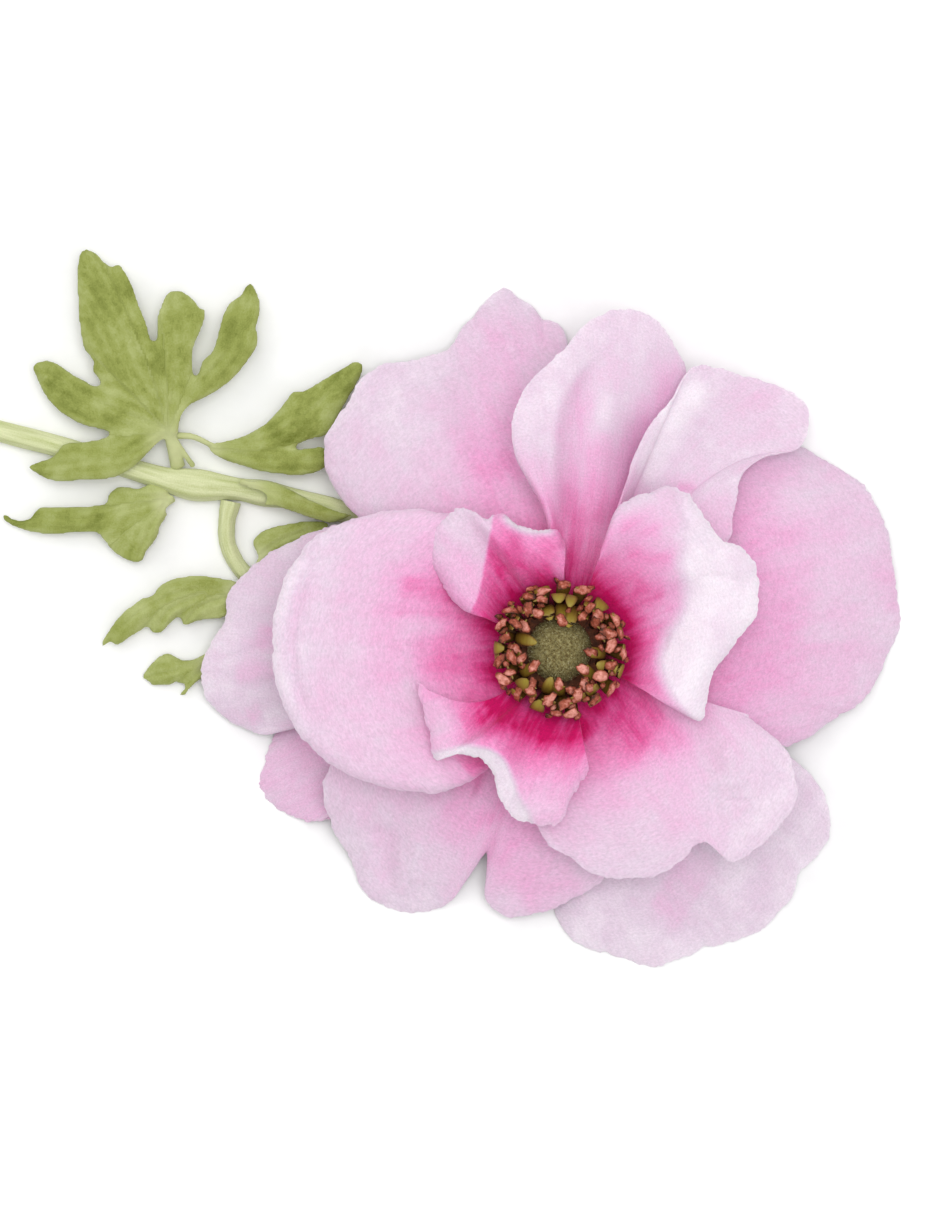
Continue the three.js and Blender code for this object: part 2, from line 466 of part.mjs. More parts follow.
// ---------- leaves ----------
// outline: the cut edge of the blade. ribs: x, y, z of the veins it hangs on. petiole: from the stem in.
const leaves = {
  leaf_upper_left: {
    petiole: [[-49.6, 23.8, 2.1], [-50, 25.6, 2.4], [-51, 28.3, 3]],
    ribs: [
      [[-50.2, 27.7, 3.4], [-52.5, 34.6, 4.2], [-56.6, 43, 4.4], [-60.5, 50.3, 3]],
      [[-50.2, 27.7, 3.4], [-51.5, 34.6, 4.2], [-53.8, 42.3, 4.3], [-56.5, 48.8, 3.2]],
      [[-50.2, 27.7, 3.4], [-49.1, 34.6, 4], [-48.6, 40.4, 4], [-49, 45.4, 3]],
      [[-49.9, 28.2, 3.4], [-46.7, 33.1, 3.9], [-41.9, 39.1, 4], [-39.7, 46.2, 2.8]],
      [[-50.6, 28.2, 3.4], [-56.4, 30.5, 3.8], [-62.1, 33.1, 3.6], [-66.9, 36.4, 2.6]],
      [[-50.4, 27.4, 3.4], [-55.7, 24.6, 4], [-61.5, 24.1, 4], [-67.7, 23.4, 2.8]],
    ],
    outline: [
      [-48.9, 27.7], [-48.4, 30], [-47.3, 31.3], [-45.4, 32.3], [-43.2, 33.6], [-41.5, 35.1],
      [-40, 36.9], [-38.7, 39], [-38.5, 40.3], [-38.8, 41.3], [-38.3, 43.5], [-38.5, 45.3],
      [-39.6, 47.2], [-40.3, 46.7], [-40.9, 45.6], [-42.2, 44.7], [-43, 43.4], [-43.6, 41.3],
      [-44, 39.6], [-44.5, 38.2], [-45.7, 37.1], [-46.2, 35.7], [-46.7, 34.5], [-47, 36.2],
      [-47, 38.2], [-46.6, 39.5], [-45.8, 41.3], [-45.4, 42.7], [-45.5, 43.8], [-46.2, 43.9],
      [-46.6, 44.7], [-47.3, 45.4], [-48.5, 46.1], [-49.5, 46.2], [-50.4, 45.8], [-50.9, 44.7],
      [-51.5, 43], [-51.6, 41.1], [-51.7, 39.6], [-52.2, 39.6], [-52.7, 41.3], [-53.4, 43.1],
      [-54.2, 45.2], [-54.9, 47.1], [-55.7, 48.5], [-56.5, 49.6], [-57.6, 49.3], [-58.5, 49.9],
      [-59.3, 50.8], [-60.2, 51.4], [-61, 51.5], [-61.6, 51], [-61.9, 49.4], [-61.9, 46.9],
      [-61.8, 43.6], [-61.5, 41.1], [-61, 38.5], [-60.3, 37.7], [-59.8, 36.9], [-60, 35.9],
      [-59.4, 35], [-58.8, 34.1], [-59.6, 33.8], [-60.7, 34.4], [-62, 35.1], [-63.4, 36],
      [-64.7, 36.9], [-66, 37.2], [-67.2, 36.9], [-67.8, 36.3], [-67.4, 35.3], [-66.7, 33.7],
      [-65.8, 32.2], [-64.5, 30.8], [-62.8, 29.6], [-60.9, 28.7], [-58.9, 28.2], [-57.4, 27.8],
      [-58.4, 27.2], [-60.2, 26.8], [-62.1, 26.6], [-63.6, 26.4], [-64.5, 25.4], [-65.4, 24.6],
      [-66.9, 24.1], [-68.3, 23.4], [-67.6, 22.8], [-66.4, 22.1], [-65.1, 21.6], [-61.5, 21.6],
      [-58.9, 21.7], [-56.9, 22.1], [-54.7, 23.3], [-53.1, 24.8], [-51.8, 26.1], [-50.8, 27],
      [-49.8, 26.9],
    ],
  },
  leaf_lower_left: {
    petiole: [[-49.8, 19.4, 1.6], [-50.4, 18.4, 2.1], [-51.6, 17.6, 2.4]],
    ribs: [
      [[-50.2, 19.2, 2], [-55.1, 18, 2.6], [-61.6, 16.7, 2.8], [-71.3, 17.1, 1.6]],
      [[-50.2, 19.2, 2], [-51.9, 16.6, 2.8], [-54.2, 11.8, 2]],
      [[-50.2, 19.4, 2], [-53.8, 19.6, 2.4], [-57.5, 19.5, 2.2]],
    ],
    outline: [
      [-50.3, 19.7], [-50.4, 19.9], [-51.3, 20.2], [-52.8, 20.6], [-54.1, 20.7], [-55.4, 20.9],
      [-56.6, 21], [-57.2, 20.6], [-58, 20], [-58.2, 18.9], [-59.6, 18.5], [-62.2, 18.4],
      [-64.8, 18.3], [-67, 18.2], [-67.6, 17.5], [-68, 16.9], [-69.3, 16.6], [-70.6, 16.9],
      [-71.5, 17.5], [-71.8, 17], [-70.9, 16.1], [-69.6, 15.5], [-68.3, 15.1], [-66.5, 14.8],
      [-64.2, 14.8], [-61.6, 14.9], [-59.4, 14.9], [-58.5, 13.9], [-57.6, 12.7], [-56.4, 11.8],
      [-55.1, 11.2], [-53.6, 11.3], [-53.1, 12.5], [-52.2, 13.5], [-51.5, 14.7], [-51.1, 16],
      [-50.4, 17.1], [-50.5, 18.3], [-50.2, 19],
    ],
  },
  leaf_right: {
    petiole: [[-47.9, 27.1, 2.6], [-46.5, 26.9, 2.9], [-44, 26, 3.1]],
    ribs: [
      [[-44.8, 26, 3], [-37.7, 26.9, 3.9], [-31.9, 30.5, 3.8], [-25.8, 36.4, 2.6]],
      [[-44.8, 25.7, 3], [-39, 24.6, 3.7], [-33.2, 24.2, 3.7], [-29.6, 24.6, 3.2]],
    ],
    outline: [
      [-45, 25.9], [-44.3, 26.5], [-42.8, 26.8], [-40.9, 27.3], [-39, 28.2], [-37.4, 29.2],
      [-36.1, 30.6], [-34.9, 32.1], [-34, 33.2], [-32.8, 33.2], [-31.2, 34.1], [-29.3, 35.3],
      [-27.4, 36.4], [-26.1, 37.1], [-25.1, 36.6], [-25.2, 35.5], [-26, 33.9], [-27.3, 31.7],
      [-28.4, 29.5], [-29.2, 27.7], [-30.6, 27.2], [-32.2, 26.8], [-33.4, 26.3], [-34.7, 25.7],
      [-33.2, 25.7], [-31.2, 26], [-29.9, 25.9], [-29.2, 25], [-29.6, 23.7], [-30.4, 23],
      [-31.6, 22.5], [-33.8, 22.3], [-36.4, 22.5], [-38.6, 22.9], [-40.9, 23.6], [-42.8, 24.2],
      [-44.4, 25.1],
    ],
  },
  leaf_middle: {
    petiole: [[-41, 21.8, 3.9], [-39.8, 21.2, 4], [-38.4, 20.6, 4.1]],
    ribs: [
      [[-39.8, 21, 4], [-34.4, 19.2, 4.3], [-26.7, 17.2, 4]],
    ],
    outline: [
      [-40.1, 21.3], [-38.6, 21.7], [-37, 21.6], [-35.3, 21], [-33.5, 20.1], [-31.9, 19.2],
      [-29.9, 18.3], [-28, 17.6], [-26.3, 17.2], [-27.4, 16.7], [-29.2, 16.1], [-30.8, 16.5],
      [-32.5, 17], [-34.4, 17.7], [-36.4, 18.3], [-37.9, 18.5], [-37.4, 19.4], [-38.4, 20.3],
      [-39.6, 20.6],
    ],
  },
  leaf_shoot_upper: {
    petiole: [[-39, 10.4, 1.9], [-38.6, 11, 2.1], [-37.6, 12.6, 2.3]],
    ribs: [
      [[-38.8, 11.6, 2.2], [-36, 13.8, 2.5], [-30, 16, 2.2]],
    ],
    outline: [
      [-39.4, 13.9], [-38.1, 15.2], [-36.4, 15.8], [-34.5, 16.2], [-32.6, 16.5], [-30.6, 16.5],
      [-29.4, 16.1], [-30.4, 14.9], [-32.2, 13.9], [-34, 12.9], [-35.8, 12.1], [-37.5, 11.4],
      [-38.4, 11.6], [-39, 12.6],
    ],
  },
  leaf_shoot_left: {
    petiole: [[-40, 7.2, 2.1], [-40.6, 7.3, 2.3], [-42.4, 7.1, 2.4]],
    ribs: [
      [[-41, 7.3, 2.3], [-47.4, 7.6, 2.8], [-53.9, 4.7, 2.6], [-58.6, 0.4, 1.4]],
      [[-46.1, 6.8, 2.7], [-50, 5, 2.6], [-51.8, 2.2, 1.8]],
      [[-42.9, 6.6, 2.4], [-46.1, 5.3, 2.5], [-48.1, 3.2, 1.9]],
    ],
    outline: [
      [-41.2, 8.5], [-43.3, 9.1], [-45.5, 9.4], [-47.4, 9.4], [-49.4, 9.1], [-50.6, 8.6], [-51.7, 7.8],
      [-52.2, 6.9], [-53.5, 6.6], [-54.6, 5.8], [-55.9, 4.9], [-57.1, 3.6], [-58, 2.3], [-58.8, 1],
      [-58.9, 0.1], [-57.6, 0.9], [-57.2, 0.4], [-56.6, 0.5], [-55.7, 1.1], [-54.4, 1.9], [-53.1, 2.7],
      [-52.6, 2.7], [-52.5, 2], [-51.9, 1.9], [-50.9, 2.2], [-50.4, 2.8], [-49.6, 3.6], [-48.8, 4.1],
      [-48.6, 3.6], [-48.2, 2.9], [-47.3, 3.2], [-46.1, 3.6], [-44.6, 3.7], [-43, 4], [-41.7, 5],
      [-40.8, 6.6],
    ],
  },
  leaf_shoot_low: {
    petiole: [[-39.3, 1.4, 1.1], [-43, 0.8, 1], [-45.2, -0.8, 1.1], [-46.6, -1.8, 1.3]],
    ribs: [
      [[-45.1, -1.2, 1.2], [-48.8, -2.7, 1.7], [-53.3, -3.8, 1]],
      [[-45.4, -2, 1.2], [-47, -3.8, 1.4], [-48.8, -6, 0.8]],
    ],
    outline: [
      [-44.6, -0.2], [-45.7, -0.7], [-46.7, -1.2], [-48, -1.5], [-49.2, -1.1], [-50.3, -0.5],
      [-51.4, -0.9], [-52.3, -1.6], [-53, -2.5], [-53.7, -3.5], [-53.5, -4.2], [-52.9, -3.9],
      [-52.8, -4.7], [-52, -4.9], [-51, -4.7], [-50.2, -4.8], [-49.3, -4.4], [-48.5, -4.6],
      [-47.7, -4.3], [-48.4, -5.3], [-49, -6.2], [-48.2, -6.1], [-47.5, -5.2], [-46.7, -4.4],
      [-45.7, -3.7], [-44.8, -2.2],
    ],
  },
};

// Height of the blade over x, y: the veins' heights, the near ones counting most.
function bladeHeight(veins, x, y) {
  let weight = 0;
  let height = 0;
  for (const vein of veins) {
    let nearest = vein[0];
    for (const p of vein) {
      if (Math.hypot(p.x - x, p.y - y) < Math.hypot(nearest.x - x, nearest.y - y)) nearest = p;
    }
    const pull = (Math.hypot(nearest.x - x, nearest.y - y) ** 2 + 0.4) ** -1.5;
    weight += pull;
    height += pull * nearest.z;
  }
  return height / weight;
}

function leafGeometry(leaf) {
  const veins = leaf.ribs.map((rib) => spline(rib).getPoints(veinSteps));
  const flat = new wasm.CrossSection([leaf.outline], 'EvenOdd').extrude(leafThickness, 0, 0, [1, 1], true);
  const blade = flat.refineToLength(leafPanel).warp((p) => {
    p[2] += bladeHeight(veins, p[0], p[1]);
  });
  return geometryFrom(blade.add(toSolid(tube(leaf.petiole, petioleRadius, 4, 6))));
}

for (const [name, leaf] of Object.entries(leaves)) {
  add(name, leafGeometry(leaf), colours.leaf, 0.75);
}

// ---------- on the table, centred ----------
const box = new THREE.Box3().setFromObject(flower);
const middle = box.getCenter(new THREE.Vector3());
flower.position.set(-middle.x, -middle.y, -box.min.z);

export default flower;
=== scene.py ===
import math

import bpy
import numpy as np
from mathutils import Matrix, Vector


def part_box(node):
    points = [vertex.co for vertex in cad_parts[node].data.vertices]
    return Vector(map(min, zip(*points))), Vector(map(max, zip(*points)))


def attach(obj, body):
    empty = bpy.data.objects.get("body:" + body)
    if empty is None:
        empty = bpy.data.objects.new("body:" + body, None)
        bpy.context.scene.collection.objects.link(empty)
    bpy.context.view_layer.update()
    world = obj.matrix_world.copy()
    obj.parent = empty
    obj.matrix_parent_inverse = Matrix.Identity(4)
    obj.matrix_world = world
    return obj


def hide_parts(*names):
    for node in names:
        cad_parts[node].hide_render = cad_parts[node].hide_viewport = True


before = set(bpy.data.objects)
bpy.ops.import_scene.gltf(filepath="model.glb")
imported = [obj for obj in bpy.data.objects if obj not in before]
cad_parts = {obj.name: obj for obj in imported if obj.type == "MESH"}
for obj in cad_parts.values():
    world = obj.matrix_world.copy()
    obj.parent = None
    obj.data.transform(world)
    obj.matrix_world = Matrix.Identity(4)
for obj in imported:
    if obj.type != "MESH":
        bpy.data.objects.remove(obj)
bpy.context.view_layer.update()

mm = 0.001
receptacleFoot = 7.2  # mm above the table
footLow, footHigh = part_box("receptacle")
bloomCentre = np.array([  # every shape below is in mm from this point
    (footLow[0] + footHigh[0]) / 2,
    (footLow[1] + footHigh[1]) / 2,
    footLow[2] - receptacleFoot * mm,
])


def addToScene(name, data):
    thing = bpy.data.objects.new(name, data)
    bpy.context.scene.collection.objects.link(thing)
    return thing


cameraSettings = {
    "overX": -11.3,  # mm from the bloom's centre
    "overY": 5.3,
    "height": 570,
    "focusHeight": 20,  # the height at which fieldWidth is measured
    "fieldWidth": 117.5,
    "sensor": 36,
}


def makeCamera(s):
    data = bpy.data.cameras.new("camera")
    data.sensor_fit = "HORIZONTAL"
    data.sensor_width = s["sensor"]
    data.lens = s["sensor"] * (s["height"] - s["focusHeight"]) / s["fieldWidth"]
    data.clip_start = 0.01
    camera = addToScene("camera", data)
    camera.location = bloomCentre + np.array([s["overX"], s["overY"], s["height"]]) * mm
    bpy.context.scene.camera = camera


lightSettings = {
    "lamps": {
        "key": {"at": (-380, 420, 600), "size": 800, "watts": 1.86, "colour": (1.0, 0.99, 0.97)},
        "fill": {"at": (520, -300, 480), "size": 800, "watts": 1.13, "colour": (0.98, 0.98, 1.0)},
        "top": {"at": (60, 60, 900), "size": 600, "watts": 3.9, "colour": (1.0, 1.0, 1.0)},
    },
    "sky": 0.486,
}


def makeLights(s):
    for name, lamp in s["lamps"].items():
        data = bpy.data.lights.new(name, "AREA")
        data.shape = "DISK"
        data.size = lamp["size"] * mm
        data.energy = lamp["watts"]
        data.color = lamp["colour"]
        light = addToScene(name, data)
        light.location = bloomCentre + np.array(lamp["at"]) * mm
        light.rotation_euler = (-Vector(lamp["at"])).to_track_quat("-Z", "Y").to_euler()
    world = bpy.data.worlds.new("studio")
    world.use_nodes = True
    sky = world.node_tree.nodes["Background"]
    sky.inputs["Color"].default_value = (1, 1, 1, 1)
    sky.inputs["Strength"].default_value = s["sky"]
    bpy.context.scene.world = world
    bpy.context.scene.view_settings.view_transform = "Standard"


def srgb(r, g, b):
    def linear(c):
        c = c / 255
        return c / 12.92 if c <= 0.04045 else ((c + 0.055) / 1.055) ** 2.4
    return (linear(r), linear(g), linear(b), 1)


# Short calls for nodes. A value is the output of another node, or a plain number, vector or colour.
class Bench:
    def __init__(self, tree):
        self.nodes, self.links = tree.nodes, tree.links

    def add(self, kind, inputs, **settings):
        node = self.nodes.new(kind)
        for name, setting in settings.items():
            setattr(node, name, setting)
        for name, value in inputs.items():
            self.put(value, node.inputs[name])
        return node

    def put(self, value, socket):
        if isinstance(value, bpy.types.NodeSocket):
            self.links.new(value, socket)
        else:
            socket.default_value = value

    def calculate(self, operation, a, b, clamp=False):
        return self.add("ShaderNodeMath", {0: a, 1: b}, operation=operation, use_clamp=clamp).outputs[0]

    def plus(self, a, b, clamp=False):
        return self.calculate("ADD", a, b, clamp)

    def times(self, a, b):
        return self.calculate("MULTIPLY", a, b)

    # A shift and the values, each by its weight, summed.
    def total(self, values, weights, shift=0):
        for name, weight in weights.items():
            shift = self.plus(self.times(values[name], weight), shift)
        return shift

    # The same, held between 0 and 1.
    def blend(self, values, weights, shift):
        held = self.add("ShaderNodeClamp", {"Value": self.total(values, weights, shift)})
        return held.outputs["Result"]

    def attribute(self, name, output="Fac"):
        return self.add("ShaderNodeAttribute", {}, attribute_name=name).outputs[output]

    def noise(self, place, grain):
        return self.add("ShaderNodeTexNoise", {"Vector": place, **grain}).outputs["Fac"]

    def effect(self, group, place, values):
        return self.add("ShaderNodeGroup", {"Place": place, **values}, node_tree=group).outputs

    def ramp(self, tone, tones):
        node = self.add("ShaderNodeValToRGB", {"Fac": tone})
        elements = node.color_ramp.elements
        elements.remove(elements[-1])
        elements[0].position = tones[0][0]
        elements[0].color = srgb(*tones[0][1])
        for position, colour in tones[1:]:
            elements.new(position).color = srgb(*colour)
        return node.outputs["Color"]

    def mix(self, how, first, second, share=1.0):
        inputs = {"Factor": share, "A": first, "B": second}
        return self.add("ShaderNodeMix", inputs, data_type="RGBA", blend_type=how).outputs["Result"]

    # A shader's colour and its relief, which is given as strength and depth in mm.
    def dress(self, shader, colour, height, relief):
        inputs = {"Strength": relief[0], "Distance": relief[1] * mm, "Height": height}
        self.put(self.add("ShaderNodeBump", inputs).outputs["Normal"], shader.inputs["Normal"])
        self.put(colour, shader.inputs["Base Color"])


def newMaterial(name, finish):
    material = bpy.data.materials.new(name)
    material.use_nodes = True
    shader = material.node_tree.nodes["Principled BSDF"]
    for socket, value in finish.items():
        shader.inputs[socket].default_value = value
    return material, Bench(material.node_tree), shader


# Every group takes a place: in mm on the flower, in m on the table.
def newGroup(name, vectors, numbers, results):
    group = bpy.data.node_groups.new(name, "ShaderNodeTree")
    sockets = [(vectors, "INPUT", "NodeSocketVector"), (numbers, "INPUT", "NodeSocketFloat"),
               (results, "OUTPUT", "NodeSocketFloat")]
    for names, way, kind in sockets:
        for socket in names:
            group.interface.new_socket(name=socket, in_out=way, socket_type=kind)
    given, result = group.nodes.new("NodeGroupInput").outputs, group.nodes.new("NodeGroupOutput").inputs
    return group, Bench(group), given, result


grainNumbers = ("Scale", "Detail", "Roughness")


# Even grain: clouds where its scale is small, fuzz or felt where it is large.
def makeEvenGrain():
    group, bench, given, result = newGroup("evenGrain", ["Place"], grainNumbers, ["Grain"])
    bench.put(bench.noise(given["Place"], {name: given[name] for name in grainNumbers}), result["Grain"])
    return group


# Streaks that run along a piece.
def makeLongStreaks():
    group, bench, given, result = newGroup("longStreaks", ["Place", "Stretch"], grainNumbers, ["Streak"])
    drawn = bench.add("ShaderNodeMapping", {"Vector": given["Place"], "Scale": given["Stretch"]})
    streak = bench.noise(drawn.outputs["Vector"], {name: given[name] for name in grainNumbers})
    bench.put(streak, result["Streak"])
    return group


clothWeave = {
    "thread": {"Distortion": 6, "Detail": 2, "Detail Scale": 1.6},
    "fibre": {"Scale": 3.4, "Detail": 3, "Roughness": 0.8},
    "raised": 0.12,  # share of the threads in the height
    "paler": 0.06,  # and in the flecks
    "level": -0.01,
}


# Fine cloth: crossed threads and a scatter of paler fibres.
def makeFineCloth(s):
    group, bench, given, result = newGroup("fineCloth", ["Place"], ["Threads"], ["Height", "Fleck"])
    inputs = {"Vector": given["Place"], "Scale": given["Threads"], **s["thread"]}
    waves = [bench.add("ShaderNodeTexWave", inputs, bands_direction=way) for way in ("X", "Y")]
    weave = bench.times(*(wave.outputs["Fac"] for wave in waves))
    fibre = bench.noise(given["Place"], s["fibre"])
    bench.put(bench.plus(bench.times(weave, s["raised"]), fibre), result["Height"])
    fleck = bench.plus(fibre, bench.times(weave, s["paler"]))
    bench.put(bench.plus(fleck, s["level"]), result["Fleck"])
    return group


evenGrain, longStreaks, fineCloth = makeEvenGrain(), makeLongStreaks(), makeFineCloth(clothWeave)

petalLook = {
    "tones": [  # from rim white to claw magenta
        (0.00, (238, 226, 236)),
        (0.15, (222, 200, 218)),
        (0.30, (225, 184, 212)),
        (0.45, (228, 165, 204)),
        (0.60, (227, 138, 187)),
        (0.75, (219, 102, 161)),
        (0.88, (211, 62, 132)),
        (1.00, (193, 6, 92)),
    ],
    "well": (92, 34, 40),  # painted shade: the ring under the stamens, darkened as if in their shadow
    "cloud": {"Scale": 0.22, "Detail": 4, "Roughness": 0.6},
    "cloudShare": 0.3,
    "streak": {"Stretch": (1, 0.2, 1), "Scale": 0.5, "Detail": 4, "Roughness": 0.66},
    "streakShare": 0.62,
    "streakFloor": 0.12,  # so that the palest petals have some streaks too
    "cloth": {"Threads": 0.75},
    "grainShare": 0.5,
    "roughness": 0.64,
    "fleckRoughness": 0.2,
    "relief": (0.4, 0.1),
    "finish": {
        "Sheen Weight": 0.1,
        "Sheen Roughness": 0.5,
        "Specular IOR Level": 0.15,
        "Subsurface Weight": 0.12,
        "Subsurface Radius": (1.0, 0.45, 0.6),
        "Subsurface Scale": 1.2 * mm,
    },
}


def makePetalMaterial(s):
    material, bench, shader = newMaterial("petal cloth", s["finish"])
    blush = bench.attribute("blush")
    place = bench.attribute("place", "Vector")
    cloth = bench.effect(fineCloth, place, s["cloth"])
    cloud = bench.plus(bench.effect(evenGrain, place, s["cloud"])["Grain"], -0.5)
    streak = bench.plus(bench.effect(longStreaks, place, s["streak"])["Streak"], -0.5)
    fleck = bench.plus(cloth["Fleck"], -0.5)
    streakReach = bench.times(bench.plus(blush, s["streakFloor"]), s["streakShare"])
    clouded = bench.plus(blush, bench.times(cloud, s["cloudShare"]))
    tone = bench.plus(clouded, bench.times(streak, streakReach), clamp=True)
    grainReach = bench.times(bench.plus(blush, 1), s["grainShare"])
    grain = bench.plus(bench.times(fleck, grainReach), 1)
    grained = bench.mix("MULTIPLY", bench.ramp(tone, s["tones"]), grain)
    # Painted shade: the ring under the stamens is mixed toward a dark colour.
    colour = bench.mix("MIX", grained, srgb(*s["well"]), bench.attribute("well"))
    rough = bench.plus(bench.times(cloth["Fleck"], s["fleckRoughness"]), s["roughness"])
    bench.put(rough, shader.inputs["Roughness"])
    bench.dress(shader, colour, cloth["Height"], s["relief"])
    return material


leafLook = {
    "tones": [(0.12, (98, 108, 32)), (0.48, (146, 155, 80)), (0.9, (178, 186, 124))],
    "stalk": (196, 201, 150),
    "streak": {"Stretch": (1.1, 0.07, 1), "Scale": 1, "Detail": 3, "Roughness": 0.6},
    "cloud": {"Scale": 0.28, "Detail": 3, "Roughness": 0.55},
    "fuzz": {"Scale": 5, "Detail": 2, "Roughness": 0.6},
    "edgePower": 6,
    "weights": {"streak": 0.24, "cloud": 1, "fuzz": 0.45, "edge": 0.3, "vein": 0.12, "hub": 0.26},
    "shift": -0.5,
    "height": {"fuzz": 1, "streak": 1.6},
    "relief": (0.45, 0.12),
    "finish": {"Roughness": 0.75, "Sheen Weight": 0.2, "Sheen Roughness": 0.4, "Specular IOR Level": 0.2},
}


def makeLeafMaterial(s):
    material, bench, shader = newMaterial("downy leaf", s["finish"])
    place = bench.attribute("place", "Vector")
    values = {
        "streak": bench.effect(longStreaks, place, s["streak"])["Streak"],
        "cloud": bench.effect(evenGrain, place, s["cloud"])["Grain"],
        "fuzz": bench.effect(evenGrain, place, s["fuzz"])["Grain"],
        "edge": bench.calculate("POWER", bench.attribute("across"), s["edgePower"]),
        "vein": bench.attribute("vein"),
        "hub": bench.attribute("hub"),
    }
    blade = bench.ramp(bench.blend(values, s["weights"], s["shift"]), s["tones"])
    colour = bench.mix("MIX", blade, srgb(*s["stalk"]), bench.attribute("stalk"))
    bench.dress(shader, colour, bench.total(values, s["height"]), s["relief"])
    return material


stemLook = {
    "tones": [(0.3, (168, 178, 108)), (0.7, (218, 222, 178))],
    "streak": {"Stretch": (1.4, 0.12, 1), "Scale": 1, "Detail": 4, "Roughness": 0.6},
    "fuzz": {"Scale": 6, "Detail": 2, "Roughness": 0.6},
    "weights": {"streak": 0.8, "fuzz": 0.3},
    "shift": 0,
    "height": {"fuzz": 1, "streak": 1.5},
    "relief": (0.4, 0.1),
    "finish": {"Roughness": 0.66, "Specular IOR Level": 0.3},
}
filamentLook = {
    "tones": [(0.3, (52, 22, 8)), (0.65, (116, 84, 26)), (1, (148, 130, 42))],  # foot, waist and tip
    "streak": {"Stretch": (4, 0.8, 1), "Scale": 1, "Detail": 3, "Roughness": 0.6},
    "weights": {"lift": 1, "streak": 0.3},
    "shift": -0.15,
    "height": {"streak": 1},
    "relief": (0.4, 0.1),
    "finish": {"Roughness": 0.5, "Specular IOR Level": 0.35},
}
antherLook = {
    "tones": [(0, (58, 24, 6)), (0.45, (158, 76, 54)), (1, (230, 158, 144))],  # crease, body and crown
    "grain": {"Scale": 1.8, "Detail": 3, "Roughness": 0.65},
    "weights": {"lift": 1, "grain": 1.4},
    "shift": -0.75,
    "height": {"grain": 1},
    "relief": (0.5, 0.12),
    "finish": {"Roughness": 0.6, "Specular IOR Level": 0.3},
}
domeLook = {
    "tones": [(0.2, (82, 62, 26)), (0.5, (150, 140, 94)), (0.85, (228, 222, 188))],
    "grain": {"Scale": 3.2, "Detail": 3, "Roughness": 0.65},
    "weights": {"grain": 0.9, "lift": 0.35},
    "shift": -0.1,
    "height": {"grain": 1},
    "relief": (0.6, 0.15),
    "finish": {"Roughness": 0.9, "Specular IOR Level": 0.15},
}
receptacleLook = {
    "tones": [(0.3, (56, 22, 6)), (0.7, (118, 62, 26))],
    "grain": {"Scale": 1.6, "Detail": 3, "Roughness": 0.65},
    "weights": {"grain": 1},
    "shift": 0,
    "height": {"grain": 1},
    "relief": (0.5, 0.15),
    "finish": {"Roughness": 0.8},
}


# Stem, stamens, dome and receptacle: their tone and relief follow grain, fuzz or streaks, and their tone
# also the lift of a point, which is 0 at a foot or in a crease and 1 on a crown.
def makeGrownMaterial(name, s):
    material, bench, shader = newMaterial(name, s["finish"])
    place = bench.attribute("place", "Vector")
    values = {}
    for key in s["weights"]:
        if key == "lift":
            values[key] = bench.attribute(key)
        else:
            group = longStreaks if key == "streak" else evenGrain
            values[key] = bench.effect(group, place, s[key])[0]
    tone = bench.blend(values, s["weights"], s["shift"])
    bench.dress(shader, bench.ramp(tone, s["tones"]), bench.total(values, s["height"]), s["relief"])
    return material


tableLook = {
    "tones": [(0.3, (246, 246, 246)), (0.7, (252, 252, 252))],
    "grain": {"Scale": 220, "Detail": 3, "Roughness": 0.5},
    "half": 1.5,  # half its side, m
    "finish": {"Roughness": 0.85, "Specular IOR Level": 0.1},
}


def makeTable(s):
    material, bench, shader = newMaterial("pale table", s["finish"])
    place = bench.nodes.new("ShaderNodeTexCoord").outputs["Object"]
    grain = bench.effect(evenGrain, place, s["grain"])["Grain"]
    bench.put(bench.ramp(grain, s["tones"]), shader.inputs["Base Color"])
    half = s["half"]
    corners = [(-half, -half, 0), (half, -half, 0), (half, half, 0), (-half, half, 0)]
    mesh = bpy.data.meshes.new("table")
    mesh.from_pydata(corners, [], [(0, 1, 2, 3)])
    mesh.materials.append(material)
    addToScene("table", mesh)


smoothAngle = 55  # degrees between faces that still shade as one surface


def nodeOf(name):  # petalOuterTop stands for petal_outer_top
    return "".join("_" + letter.lower() if letter.isupper() else letter for letter in name)


def addPiece(name, points, faces, material, values, node=None):
    mesh = bpy.data.meshes.new(name)
    mesh.from_pydata((np.asarray(points) * mm + bloomCentre).tolist(), [], faces)
    mesh.polygons.foreach_set("use_smooth", [True] * len(mesh.polygons))
    for key, data in values.items():
        data = np.asarray(data, dtype=np.float32)
        kind, part = ("FLOAT_VECTOR", "vector") if data.ndim == 2 else ("FLOAT", "value")
        mesh.attributes.new(key, kind, "POINT").data.foreach_set(part, data.ravel())
    mesh.materials.append(material)
    mesh.update()
    mesh.set_sharp_from_angle(angle=math.radians(smoothAngle))
    piece = addToScene(name, mesh)
    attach(piece, "root")
    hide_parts(node or nodeOf(name))
    return piece


def soft(t):
    t = np.clip(t, 0, 1)
    return t * t * (3 - 2 * t)


def unit(vectors):
    return vectors / np.linalg.norm(vectors, axis=-1, keepdims=True)


def runAlong(line):
    return np.concatenate([[0], np.cumsum(np.linalg.norm(np.diff(line, axis=0), axis=1))])


